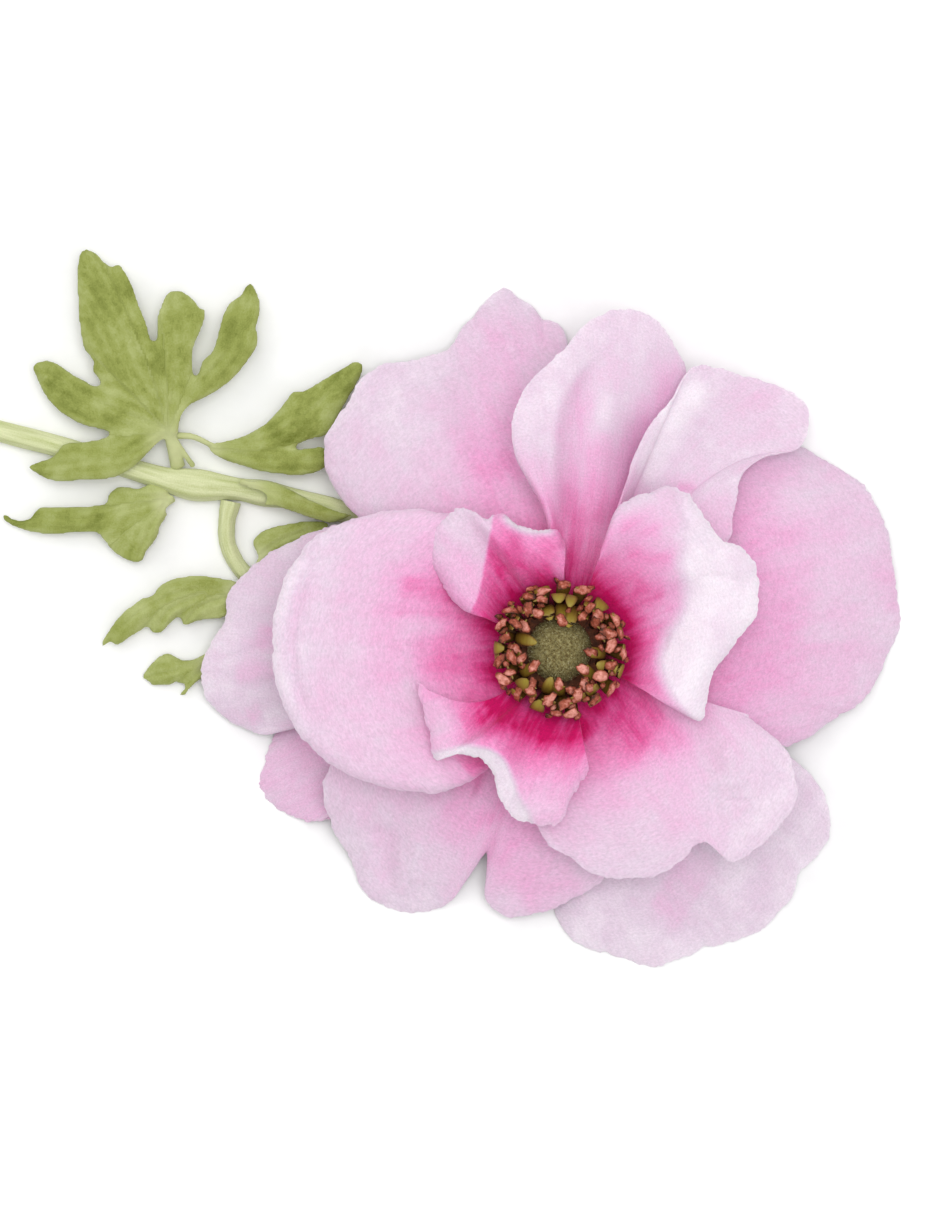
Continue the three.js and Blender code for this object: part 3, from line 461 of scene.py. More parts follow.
# A centripetal Catmull-Rom curve through the points, as evenly spaced samples.
def smoothLine(points, count, fine=24):
    p = np.asarray(points, dtype=float)
    p = np.vstack([2 * p[0] - p[1], p, 2 * p[-1] - p[-2]])
    pieces = []
    for a, b, c, d in zip(p[:-3], p[1:-2], p[2:-1], p[3:]):
        t0, t1, t2 = (max(np.linalg.norm(q - r) ** 0.5, 1e-4) for q, r in ((b, a), (c, b), (d, c)))
        m1 = ((b - a) / t0 - (c - a) / (t0 + t1) + (c - b) / t1) * t1
        m2 = ((c - b) / t1 - (d - b) / (t1 + t2) + (d - c) / t2) * t1
        t = np.linspace(0, 1, fine, endpoint=False)[:, None]
        pieces.append((2 * b - 2 * c + m1 + m2) * t**3 + (-3 * b + 3 * c - 2 * m1 - m2) * t**2 + m1 * t + b)
    line = np.vstack(pieces + [p[-2:-1]])
    run = runAlong(line)
    at = np.linspace(0, run[-1], count)
    return np.stack([np.interp(at, run, line[:, k]) for k in range(line.shape[1])], axis=1)


def closedLine(points, spacing):
    p = np.asarray(points, dtype=float)
    wrapped = np.vstack([p[-2:], p, p[:3]])
    line = smoothLine(wrapped, int(runAlong(wrapped)[-1] / spacing), fine=12)
    toFirst = np.linalg.norm(line - p[0], axis=1)
    quarter = len(line) // 4
    return line[toFirst[:quarter].argmin():len(line) - quarter + toFirst[-quarter:].argmin()]


# A line smoothed with a bell curve; its two ends stay where they are.
def evened(line, width):
    reach = int(3 * width)
    weights = np.exp(-0.5 * (np.arange(-reach, reach + 1) / width) ** 2)
    weights /= weights.sum()
    padded = np.vstack([2 * line[0] - line[reach:0:-1], line, 2 * line[-1] - line[-2:-reach - 2:-1]])
    return np.stack([np.convolve(padded[:, k], weights, "valid") for k in range(line.shape[1])], axis=1)


# Distance from each place to a line, positive to its left, and how far along (0 to 1) the nearest spot is.
def signedDistance(x, y, line):
    best = np.full(x.shape, 1e9)
    side = np.ones(x.shape)
    run = np.zeros(x.shape)
    for k, ((ax, ay), (bx, by)) in enumerate(zip(line[:-1, :2], line[1:, :2])):
        dx, dy = bx - ax, by - ay
        t = np.clip(((x - ax) * dx + (y - ay) * dy) / max(dx * dx + dy * dy, 1e-9), 0, 1)
        gap = np.hypot(x - ax - t * dx, y - ay - t * dy)
        closer = gap < best
        best[closer] = gap[closer]
        turn = dx * (y - ay) - dy * (x - ax)
        side[closer] = np.where(turn[closer] >= 0, 1.0, -1.0)
        run[closer] = (k + t[closer]) / (len(line) - 1)
    return best * side, run


strokeShape = {"samples": 24, "endStrength": 0.2, "endRise": 4}


# A soft stroke along a line: 1 on it, fading over the width, and toward its two ends.
def stroke(x, y, line, width, s=strokeShape):
    gap, run = signedDistance(x, y, smoothLine(line, s["samples"]))
    ends = [soft(s["endStrength"] + s["endRise"] * share) for share in (run, 1 - run)]
    return np.exp(-(gap / width) ** 2) * ends[0] * ends[1]


waverWaves = {"lengths": (14, 14, 9, 9, 6, 6, 4, 4), "unitLength": 9, "levelling": 3}  # mm


# Small ups and downs, made of crossing waves.
def wavering(x, y, own, s=waverWaves):
    total = np.zeros_like(x)
    for length in s["lengths"]:
        turn, phase = own.uniform(0, 2 * math.pi, 2)
        run = x * math.cos(turn) + y * math.sin(turn)
        total += np.sin(2 * math.pi * run / length + phase) * length / s["unitLength"]
    return total / s["levelling"]


def turnsAround(count):
    return np.linspace(0, 2 * math.pi, count, endpoint=False)


# Faces of a closed sheet whose front and back are grids of the same size.
def sheetFaces(rows, columns):
    back = rows * columns
    index = np.arange(back).reshape(rows, columns)
    a, b, c, d = index[:-1, :-1], index[1:, :-1], index[1:, 1:], index[:-1, 1:]
    quads = [np.stack([a, b, c, d], -1).reshape(-1, 4), back + np.stack([a, d, c, b], -1).reshape(-1, 4)]
    for rim in (index[0], index[-1, ::-1], index[::-1, 0], index[:, -1]):
        quads.append(np.stack([rim[:-1], rim[1:], back + rim[1:], back + rim[:-1]], -1))
    return np.vstack(quads).tolist()


# Faces between rings of points. Flipped ones look the other way.
def ringFaces(count, around, flipped=False):
    faces = []
    for k in range(count - 1):
        for i in range(around):
            a, b = k * around + i, k * around + (i + 1) % around
            faces.append((a, a + around, b + around, b) if flipped else (a, b, b + around, a + around))
    return faces


def rodFaces(count, around):
    last = (count - 1) * around
    return ringFaces(count, around) + [tuple(range(around))[::-1], tuple(range(last, last + around))]


# Points of rings along a line, each drawn as (side, lift) across it. Where the line runs steeply along
# "up", its last good side goes on.
def sweep(line, rings, up, steepest=0.0):
    tangent = unit(np.gradient(line, axis=0))
    side = np.cross(tangent, up)
    steep = np.linalg.norm(side, axis=1) < steepest
    side[steep] = side[~steep][-1]
    side = unit(side - tangent * np.sum(side * tangent, axis=1, keepdims=True))
    lift = np.cross(side, tangent)
    return (line[:, None] + rings[..., :1] * side[:, None] + rings[..., 1:] * lift[:, None]).reshape(-1, 3)


def ellipse(width, height, around):
    angle = turnsAround(around)
    return np.stack([width / 2 * np.cos(angle), height / 2 * np.sin(angle)], 1)


# Meshes, each given as points and faces, as one.
def joined(parts):
    faces, start = [], 0
    for points, made in parts:
        faces += [tuple(i + start for i in face) for face in made]
        start += len(points)
    return np.vstack([points for points, made in parts]), faces


petalSheet = {
    "across": 170,
    "along": 72,
    "thickness": 0.3,
    "rimThickness": 0.35,  # share of the thickness at the very rim
    "rimTaper": 0.5,  # mm over which the rim thins
    "clawRadius": 4.75,
    "waver": 0.12,  # small ups and downs of the sheet, mm
    "waverRise": 1.6,  # how soon they grow from the claw
    "evening": 3,  # how much the outline is evened before it is frayed
    "fray": 0.13,  # unevenness of the cut rim, mm
    "frays": ((0.6, 1.0), (2, 1.2), (6, 1.6)),  # their widths and weights
    "frayAim": 0.3,  # they point away from this share of the way to the rim's middle
    "frayReach": 7,  # the higher, the closer to the rim they stay
    "flapSamples": 40,
    "lipWidth": 1.6,  # mm of the rim that curls down
    "coreTone": 0.85,  # blush at coreRadius
    "coreRadius": 10,
    "rimPaler": 0.03,  # how much paler the cut rim is
    "rimPalerWidth": 0.4,
    # the painted shade ring under the stamens: its radius and how softly it fades, mm
    "paintedShadeRadius": 6.6,
    "paintedShadeWidth": 2,
    "clothSpan": 60,  # the least angle that the weave of a petal spans, degrees
    "clothStep": 3.7,  # sets the weave of one petal apart from the next
}

# Each petal: the claw's start and stop (degrees) and height; rise and arch of its side view; fade, tones
# and lip of its rim; the rim, anticlockwise, and the waist where it is drawn in; folds, each a line, a
# width and a height, and stains and painted light, each a line, a width and an amount: some are the
# cloth's own pink, some paint shade pinker into creases and under overlying petals, and some paint light
# paler along ridges and rolled rims. A flap lies to the left of its line, with the tones and the widths of
# its edge along it; it drops by so much over so far. Its tones are partly the pale cloth of the
# turned-over rim and partly painted light on the lit fold.
petals = {
    "petalOuterRight": {
        "claw": (-22, 34, 8.9), "rise": 4, "arch": 8, "fade": 15, "rimTone": 0.14, "lip": 0.15,
        "rim": [
            (30, -13, 4), (35, -9.5, 2.5), (40, -6, 1.5), (42.5, -1.5, 0.8), (44.5, 3, 0.35),
            (44, 6.5, 0.6), (43.5, 9.5, 1.2), (43, 13.5, 0.9), (41.5, 17.5, 0.8), (39, 21.5, 0.8),
            (34.5, 24.2, 0.8), (31, 26.6, 0.7), (26, 28.4, 0.7),
        ],
        "folds": [([(26, 20), (36, 17)], 2.5, 0.4), ([(28, -4), (39, -2)], 3, -0.4)],
        "stainsAndPaintedLight": [([(25, 24), (25, 14), (27, 4), (24, -8)], 5, 0.08), ([(42, 14), (43, 4)], 3, 0.08)],
    },
    "petalOuterLowerRight": {
        "claw": (290, 330, 8.1), "rise": 2, "arch": 4.5, "fade": 9, "rimTone": 0.08, "lip": 0.1,
        "rim": [
            (-1, -33.5, 0.6), (2.5, -38, 0.4), (8, -40, 0.4), (12.5, -41, 0.35), (16, -40, 0.5),
            (19, -39, 0.4), (23, -38, 0.35), (27, -36, 0.5), (30.5, -32, 0.8), (32, -28.5, 0.8),
            (34.5, -25.5, 0.6), (35, -20, 1), (33, -16.5, 2), (29.5, -13.4, 3.4),
        ],
        "folds": [
            ([(28, -23), (33, -27)], 1.2, -0.4), ([(13, -31), (16, -38)], 1.6, -0.4),
            ([(21, -31), (24, -36)], 2, 0.4),
        ],
        "stainsAndPaintedLight": [([(13, -30), (18, -33)], 4, 0.14), ([(2, -36), (6, -37)], 3, -0.06)],
    },
    "petalOuterBottom": {
        "claw": (228, 276, 8.9), "rise": 2.5, "arch": 5.5, "fade": 10, "rimTone": 0.11, "lip": 0.12,
        "evening": 5,
        "rim": [
            (-29, -13.5, 8.5), (-30, -19, 6), (-29, -23, 3.5), (-26.5, -27.5, 1.5), (-25, -31.5, 0.6),
            (-22, -33.5, 0.35), (-19, -34, 0.35), (-14.5, -33, 0.8), (-11.5, -29.5, 2.5),
            (-9.2, -26.2, 4), (-9.2, -29.5, 3.5), (-9.3, -32, 2.6), (-7.5, -34, 2.2), (-5, -34.5, 2.2),
            (-1.5, -34, 2.8), (2, -32, 4.3), (5.5, -29.5, 5.8), (6, -24, 7.4),
        ],
        "folds": [
            ([(-22, -22), (-22.5, -31)], 1.6, -0.6), ([(-18.5, -23), (-18, -31)], 1.6, 0.5),
            ([(-26, -20), (-26, -26)], 1.6, 0.4), ([(-24.5, -24), (-24, -30)], 0.8, 0.3),
            ([(-20.3, -25), (-20, -32)], 0.7, 0.3), ([(-14, -16), (-10, -18)], 2, -0.8),
        ],
        "stainsAndPaintedLight": [
            # The second stroke here is painted shadow: deep pink in the crease under the inner bottom
            # petal's rim.
            ([(-8, -19), (-4, -31)], 5, 0.16), ([(-15, -14.5), (-9, -16)], 2.4, 0.25),
            ([(-14, -19), (-10, -24)], 6, 0.06), ([(-5, -33), (3, -29)], 3, 0.12),
        ],
    },
    "petalOuterLowerLeft": {
        "claw": (196, 220, 8.1), "rise": 1.5, "arch": 4, "fade": 12, "rimTone": 0.24, "lip": 0.15,
        "rim": [
            (-33, -8, 1.4), (-37, -11.5, 0.8), (-38, -15, 0.6), (-38.5, -17.5, 0.4), (-36.5, -20.5, 0.4),
            (-34, -22, 0.6), (-29.5, -22, 2), (-25, -20.6, 4),
        ],
        "folds": [([(-34, -12), (-36, -19)], 1.4, 0.3)],
    },
    "petalOuterLeft": {
        "claw": (158, 187, 8.9), "rise": 3, "arch": 5, "fade": 10, "rimTone": 0.1, "lip": 0.2,
        "rim": [
            (-26.5, 16.5, 6), (-33, 14.5, 5), (-38.5, 11, 4.2), (-42, 7.5, 3.8), (-43, 3.5, 3.4),
            (-45.5, -1.5, 3.3), (-45.5, -6, 2.3), (-41, -10, 1.6), (-38, -11, 2.2), (-33, -10, 4),
        ],
        "folds": [
            ([(-36, 1), (-40, -0.5), (-44, -1.5)], 0.8, -0.3), ([(-35, -2.5), (-41, -4)], 0.9, 0.25),
        ],
        "stainsAndPaintedLight": [
            ([(-36.5, 3), (-38, -0.5)], 1.8, 0.14), ([(-36.5, -1.5), (-39, -3), (-42, -3.5)], 1.7, 0.12),
            ([(-38, -8), (-40, -9)], 1.2, 0.14),
        ],
    },
    "petalOuterTop": {
        "claw": (90, 140, 8.9), "rise": 3.5, "arch": 6, "fade": 10, "rimTone": 0.1, "lip": 0.15,
        "evening": 9,
        "rim": [
            (2, 35, 4), (0.9, 40.4, 1.8), (-0.2, 41.9, 1.2), (-1.8, 42.5, 1), (-3.4, 44.5, 0.6),
            (-5.3, 45.5, 0.5), (-6.9, 46.5, 0.35), (-8.4, 45.7, 0.4), (-10.3, 43.8, 0.7),
            (-12, 41.8, 1.3), (-14.2, 38.6, 3.2), (-17, 37.6, 3.6), (-20.3, 36.9, 4), (-23.5, 36.2, 4.2),
            (-26, 34, 4.5), (-27.5, 30.5, 5), (-29.4, 28, 5), (-29.9, 25.5, 5.2), (-29.5, 22.3, 5.5),
            (-28, 19.5, 6), (-25.5, 16.8, 7), (-20.5, 12.6, 9.65),
        ],
        "folds": [([(-13, 37), (-10, 24)], 2.2, -0.7), ([(-20, 34), (-17, 24)], 2.4, 0.4)],
        "stainsAndPaintedLight": [
            ([(-6, 46), (-7, 32), (-8, 18)], 5.5, 0.18), ([(-12, 36), (-11, 26), (-10, 18)], 2, 0.04),
        ],
    },
    "petalMiddleTop": {
        "claw": (58, 102, 9.7), "rise": 3, "arch": 1, "fade": 9, "rimTone": 0.12, "core": 0.8, "lip": 0.1,
        "rim": [
            (14.2, 27, 9), (15.8, 31, 7.5), (16.5, 35, 7), (14.9, 38.8, 8), (12.4, 42.1, 9.5),
            (8.6, 43.2, 11), (4.3, 42.1, 12.5), (0, 37.5, 14.5), (-4.5, 33, 16), (-6, 29, 17),
            (-5.8, 25, 17), (-4.4, 22, 16.2), (-2.6, 19.3, 14.7),
        ],
        "waist": [
            (7, 16), (8, 18.5), (8.5, 20.5), (8, 22), (7, 22.5), (5.8, 22.5), (4.6, 22), (3.2, 21),
            (2.2, 20), (1.8, 19), (1.7, 17.2), (1.4, 15.2), (0.1, 13),
        ],
        "folds": [
            ([(-0.4, 17), (-0.8, 22), (-0.8, 26.5), (0.2, 31.5), (3.5, 36.5)], 0.9, 0.4),
            ([(2, 14), (1.6, 27), (3.8, 35), (7, 39)], 2, -0.8),
            ([(4.8, 16), (5.6, 26), (7.5, 34)], 1.9, 0.6), ([(9, 18), (10.8, 30)], 1.8, -0.5),
        ],
        "stainsAndPaintedLight": [
            ([(14, 38), (14, 33), (9.5, 24), (7, 14)], 2.6, 0.2),
            # Painted shade: this stroke and the first on the next line paint the valley beside the rolled
            # margin pinker.
            ([(1.8, 12), (1.4, 26), (3.6, 33), (6, 37)], 1.8, 0.1),
            ([(1.2, 10), (1.2, 17), (0.8, 22)], 1.4, 0.12), ([(4.2, 15), (4.6, 27)], 1.5, 0.12),
            # Painted highlight: paler along the ridge.
            ([(5.6, 27), (5.8, 33)], 1.3, -0.1),
        ],
        "flap": {
            "line": [
                (0.6, 12), (0.3, 16), (-0.5, 19), (-0.8, 22), (-0.9, 26.5), (0.1, 31.5), (2.7, 35.3),
                (6, 39), (10, 43.5),
            ],
            "tone": (0.75, 0.6, 0.3, 0.13, 0.1, 0.1, 0.1, 0.12), "drop": 0.4, "over": 2.2,
            "edge": (1.5, 1.5, 1.2, 1.2, 1.6, 3),
        },
    },
    "petalMiddleLeft": {
        "claw": (154, 218, 10), "rise": 2.5, "arch": 1.5, "fade": 9.5, "rimTone": 0.12, "lip": 0.7,
        "rim": [
            (-14, 17.5, 15.5), (-20.5, 17.5, 16), (-27, 16, 16), (-32, 13, 16), (-35, 8, 16),
            (-36, 1.5, 16), (-35.5, -5, 15.5), (-32.5, -11, 15), (-27, -15.5, 14.5), (-20.5, -17.8, 14),
            (-15.5, -18.2, 13.4), (-12, -17, 13), (-9, -14.8, 12.6),
        ],
        "folds": [([(-31, 12), (-33.4, 5), (-33.6, -3), (-31, -10)], 0.7, -0.5)],
        "stainsAndPaintedLight": [
            ([(-11, 7), (-21, 8)], 2.8, 0.16), ([(-12, -1), (-19, -1.5)], 2, 0.1),
            ([(-13, 2.8), (-22, 2.6)], 1.3, -0.08), ([(-18, 10.5), (-21.5, 6), (-19.5, 2)], 2.4, 0.12),
            # Of these two, the first is painted light, paler beside the inner bottom petal's left rim where
            # that petal shades this one; the second is painted shadow, deep pink under that petal's rim.
            ([(-19.5, -3), (-18, -10)], 2.2, -0.12), ([(-12, -15.5), (-9.5, -13)], 2.2, 0.25),
            # Painted light and shade on the rolled left rim: paler along its band, pinker along the line
            # inside it.
            ([(-32, 13), (-35, 6), (-35.4, -3), (-32, -10.5)], 0.9, -0.08),
            ([(-32.5, 9), (-33.6, 0), (-32, -9)], 0.7, 0.05),
        ],
    },
    "petalMiddleLowerRight": {
        "claw": (279, 337, 10), "rise": 3, "arch": 2, "fade": 8.5, "rimTone": 0.1, "lip": 0.1,
        "evening": 10,
        "rim": [
            (-3, -17, 13), (-3, -21.5, 13), (-1.5, -24.5, 12.5), (1.5, -26.5, 12), (5, -28.5, 11.5),
            (11.5, -29, 11.5), (15.5, -26.8, 12.5), (18.5, -24.5, 13), (22, -27, 12), (26.5, -24, 12),
            (30, -19, 12.5), (29.5, -14.5, 12.5), (27.5, -11.5, 12.5), (23, -8.2, 12.2),
        ],
        "folds": [
            ([(21, -11), (22.5, -18)], 1.6, 0.6), ([(19, -17), (20, -23)], 1, -0.5),
            ([(8, -19), (11, -27)], 2, 0.4), ([(20.5, -19), (24.5, -19.2)], 0.3, -0.25),
        ],
        "stainsAndPaintedLight": [
            ([(6, -9), (12, -12)], 3.6, 0.16), ([(7, -12), (11, -12), (15, -8)], 4, 0.14),
            ([(1.5, -8.5), (4, -11.5)], 2, 0.15), ([(13, -20), (16, -24)], 3, 0.06),
        ],
    },
    "petalMiddleUpperRight": {
        "claw": (24, 62, 10.4), "rise": 3, "arch": 1, "fade": 8, "rimTone": 0.12, "lip": 0.1, "evening": 2,
        "rim": [
            (21.3, 12.9, 12), (22, 15.5, 11.5), (22.6, 19, 10), (23.5, 22.3, 9), (26.5, 24.6, 7),
            (31.2, 26, 5.4), (32.3, 29.9, 4.8), (30.5, 32.5, 4.9), (25.4, 34.5, 6), (20.6, 35.9, 7.3),
            (16.9, 35.7, 9), (14.5, 32, 11), (11.5, 28.5, 12.6), (9.3, 24, 13.3),
        ],
        "waist": [
            (14.5, 10.5), (15.5, 13.5), (16.5, 17), (17.3, 21), (17.2, 24), (16.6, 26), (15.9, 27),
            (15, 27.5), (14, 27.2), (12.5, 26), (11, 24), (9.5, 21), (8, 17.5), (6.6, 14.5),
        ],
        "folds": [
            ([(13.5, 27), (16, 31), (19.5, 33.5)], 1.3, 0.5), ([(17.5, 26), (21, 30)], 2.2, -0.4),
            ([(14.5, 20.6), (18, 20.2)], 0.6, -0.3),
        ],
        "stainsAndPaintedLight": [
            # Painted light: paler along the lit ridge and down the shaded strip by the middle top petal's
            # edge.
            ([(11.5, 20), (13, 26), (16, 31), (19.5, 33.5)], 2.4, -0.16),
            # Painted shade: the first stroke here is pinker in the crease across the lobe.
            ([(14.8, 20.5), (17.5, 20.3)], 0.7, 0.16), ([(20, 33), (29, 31)], 4, 0.09),
            ([(20.5, 20), (20, 14)], 2, 0.06),
        ],
    },
    "petalInnerUpperLeft": {
        "claw": (84, 155, 11.3), "rise": 2.5, "arch": 3, "fade": 9, "rimTone": 0.3, "lip": 0.1,
        "rim": [
            (0.6, 13.4, 14.6), (-0.3, 15, 15.2), (-2.5, 15.1, 16.2), (-5, 15.4, 17), (-7.5, 17.2, 18),
            (-9.2, 16.3, 19), (-10.7, 17.2, 19), (-12.6, 17.8, 18), (-14.4, 16.7, 17.5),
            (-16.1, 15.1, 17.2), (-16, 11, 17), (-15.1, 8.8, 16.5), (-13.6, 6.5, 16), (-12.3, 5.1, 15.5),
        ],
        "folds": [([(-7, 15), (-5.5, 12), (-4, 9)], 0.8, 0.3)],
        "stainsAndPaintedLight": [
            ([(-4, 13), (-8, 12), (-7, 9)], 3, 0.12), ([(0.4, 8.5), (0.2, 13)], 1.3, -0.14),
            # The last stroke is paler along the upper rim: partly the pale cut edge, partly a painted
            # highlight.
            ([(-0.3, 14.8), (-5, 15.2), (-7.5, 17)], 0.6, -0.5),
        ],
        "flap": {
            "line": [(-11.6, 3.8), (-10.4, 6.65), (-9.4, 11.3), (-8.6, 15.3), (-8.2, 18.5)],
            "tone": (0.55, 0.38, 0.24, 0.16), "drop": 1.5, "over": 2.5,
            "edge": (0.35, 0.35),
        },
    },
    "petalInnerRight": {
        "claw": (-20, 56, 11.3), "rise": 3, "arch": 4, "fade": 6, "rimTone": 0.12, "core": 0.9, "lip": 0.3,
        "rim": [
            (16.6, -8.6, 15.8), (18.1, -9.1, 16.5), (18.4, -6.4, 16.7), (18.9, -4.3, 17),
            (19.7, -2.3, 17), (21, -0.7, 17), (22.4, 1.3, 17), (23.7, 3.1, 17), (24.8, 5.1, 17),
            (25.2, 7.2, 17), (24.9, 9.5, 17.3), (24.1, 11.3, 17.8), (22.8, 12.8, 18.2),
            (21.1, 13.6, 18.6), (19.4, 15.1, 18.8), (17.9, 16.9, 19.1), (16.3, 19.2, 18.5),
            (14.1, 20.3, 18), (11.3, 19.8, 18.5), (7.3, 17.8, 19), (6.1, 15.4, 18),
        ],
        "folds": [
            ([(14.3, 21), (15, 18), (16.4, 15)], 0.6, -0.45),
            ([(18, 9.5), (22, 8.6), (24, 7)], 0.7, -0.3), ([(16.5, 12), (19, 12.6)], 0.9, 0.3),
            ([(14, 1), (11, 2)], 1.2, -0.4),
        ],
        "stainsAndPaintedLight": [
            ([(7, 15.5), (13, 14.8)], 1.3, 0.14), ([(8, 12.5), (14.5, 11)], 1.1, 0.14),
            ([(9, 8), (13.5, 7)], 1.6, 0.12), ([(7, 18), (12, 20)], 1.5, -0.1),
        ],
        "flap": {
            "line": [
                (15.5, 22), (15.6, 18), (15.4, 14.5), (15, 11.3), (15.6, 8), (15.2, 4.6), (13.4, 1.6),
                (12.5, -1.4), (13.1, -4.4), (15.2, -7.2), (17.6, -9.8),
            ],
            "tone": (0.1, 0.04, 0.02), "drop": 0.8, "over": 2.5,
            "edge": (6, 4, 2.8, 2.6, 2.8, 3, 2.4, 1.6, 1.2),
        },
    },
    "petalInnerBottom": {
        "claw": (214, 292, 11.3), "rise": 3, "arch": 2.5, "fade": 5.4, "rimTone": 0.14, "core": 1.25,
        "lip": 0.1, "evening": 2,
        "rim": [
            (-17.7, -4.1, 15.6), (-16.7, -8.8, 16.5), (-15.8, -13.8, 17), (-14.1, -13.4, 18),
            (-12.6, -13, 18.5), (-10.7, -13.5, 18.5), (-8.8, -14.9, 18), (-7.5, -18.5, 17),
            (-5.6, -21.4, 16), (-1.9, -22, 16), (0, -21.7, 16), (1.5, -18.5, 16), (3.6, -15.1, 15.5),
        ],
        "waist": [
            (-10.2, -10), (-10, -10.2), (-9.6, -10.3), (-8.8, -10.4), (-8, -10), (-7, -9.8), (-6, -10),
            (-5, -11), (-3.8, -12), (-2, -12.5), (-0.5, -12.5), (1, -11.3), (2.6, -9.8),
        ],
        "folds": [([(-15.6, -6), (-14, -10)], 1, 0.35), ([(-5, -12), (-1, -20)], 1.6, -0.4)],
        "stainsAndPaintedLight": [([(-16, -6), (-14.5, -11)], 1.8, -0.1), ([(-9.5, -8.2), (-12.5, -9.6)], 1.4, 0.16)],
        "flap": {
            "line": [
                (-3, -23), (-3.75, -20.75), (-5, -18.5), (-6, -15.9), (-7, -13.7), (-8.6, -12.5),
                (-11.3, -12), (-14.3, -12.5), (-17.5, -13.2),
            ],
            "tone": (0.08, 0.03, 0.05), "drop": 1.3, "over": 1.3,
            "edge": (1.2, 0.7, 0.9),
        },
    },
}


def frayed(rim, sheet, own):
    outward = unit(rim[:, :2] - rim[:, :2].mean(axis=0) * sheet["frayAim"])
    rough = np.zeros(len(rim))
    for width, weight in sheet["frays"]:
        rough += weight * evened(own.normal(0, math.sqrt(width), (len(rim), 1)), width)[:, 0]
    out = rim.copy()
    out[:, :2] += outward * (sheet["fray"] * rough)[:, None]
    return out


# The sheet's places from claw (v = 0) to rim (v = 1), how far they are from the rim, and their u and v.
def petalGrid(p, sheet, own):
    rows, columns = sheet["along"] + 1, sheet["across"] + 1
    guide = [rim + waist for rim, waist in zip(p["rim"], p["waist"])] if "waist" in p else p["rim"]
    guide = smoothLine(guide, columns)
    drawn = guide[:, :3]
    even = evened(drawn, p.get("evening", sheet["evening"]))[None, :, :]
    rim = frayed(drawn, sheet, own)[None, :, :]
    u = np.linspace(0, 1, columns)[None, :]
    v = np.linspace(0, 1, rows)[:, None]
    start, stop, foot = p["claw"]
    angle = np.radians(start + (stop - start) * u)
    rootX, rootY = sheet["clawRadius"] * np.cos(angle), sheet["clawRadius"] * np.sin(angle)
    endX, endY, endZ = even[..., 0], even[..., 1], even[..., 2]
    if "waist" in p:
        waistX, waistY = guide[None, :, 3], guide[None, :, 4]
    else:
        waistX, waistY = (rootX + endX) / 2, (rootY + endY) / 2
    s = 1 - v
    x = s * s * rootX + 2 * s * v * waistX + v * v * endX
    y = s * s * rootY + 2 * s * v * waistY + v * v * endY
    z = s**3 * foot + 3 * s * s * v * (foot + p["rise"]) + 3 * s * v * v * (endZ + p["arch"]) + v**3 * endZ
    place = np.stack([x, y, z], -1) + (rim - even) * (v ** sheet["frayReach"])[..., None]
    inward = np.hypot(endX - rootX, endY - rootY) * (1 - v)  # mm from the rim
    return place, inward, u + 0 * v, v + 0 * u


def spread(values, run):  # even steps of a value along a run from 0 to 1
    return np.interp(run, np.linspace(0, 1, len(values)), values)


def makePetal(name, p, sheet, material, seed):
    own = np.random.default_rng(seed)
    place, inward, u, v = petalGrid(p, sheet, own)
    x, y, z = place[..., 0], place[..., 1], place[..., 2]
    z += sheet["waver"] * wavering(x, y, own) * soft(v * sheet["waverRise"])
    away = np.hypot(x, y)
    core = p.get("core", sheet["coreTone"])
    blush = p["rimTone"] + (core - p["rimTone"]) * np.exp((sheet["coreRadius"] - away) / p["fade"])
    for line, width, height in p.get("folds", ()):
        z += height * stroke(x, y, line, width)
    # Stains, and painted light and shade: some strokes paint creases and the ground under overlying petals
    # pinker, and some paint ridges and rolled rims paler.
    for line, width, amount in p.get("stainsAndPaintedLight", ()):
        blush += amount * stroke(x, y, line, width)
    if "flap" in p:
        flap = p["flap"]
        past, run = signedDistance(x, y, smoothLine(flap["line"], sheet["flapSamples"]))
        z -= flap["drop"] * (1 - np.exp(-np.clip(past, 0, None) / flap["over"]))
        # The flap's tones: partly the pale cloth of the turned-over rim, partly painted light on its lit
        # fold.
        blush += (spread(flap["tone"], run) - blush) * soft(past / spread(flap["edge"], run) + 0.5)
    z -= p["lip"] * np.clip(1 - inward / sheet["lipWidth"], 0, 1) ** 2
    blush -= sheet["rimPaler"] * np.exp(-inward / sheet["rimPalerWidth"])
    normal = unit(np.cross(np.gradient(place, axis=0), np.gradient(place, axis=1)))
    body = sheet["rimThickness"] + (1 - sheet["rimThickness"]) * soft(inward / sheet["rimTaper"])
    half = normal * (sheet["thickness"] / 2 * body)[..., None]
    points = np.vstack([(place + half).reshape(-1, 3), (place - half).reshape(-1, 3)])
    span = math.radians(max(sheet["clothSpan"], p["claw"][1] - p["claw"][0]))
    cloth = np.stack([(u - 0.5) * away * span, away, np.full_like(x, seed * sheet["clothStep"])], -1)
    values = {
        "blush": np.clip(np.tile(blush.ravel(), 2), 0, 1),
        # painted shade: 1 within the ring under the stamens, fading outward
        "well": np.tile(soft((sheet["paintedShadeRadius"] - away) / sheet["paintedShadeWidth"] + 0.5).ravel(), 2),
        "place": np.tile(cloth.reshape(-1, 3), (2, 1)),
    }
    addPiece(name, points, sheetFaces(*x.shape), material, values)


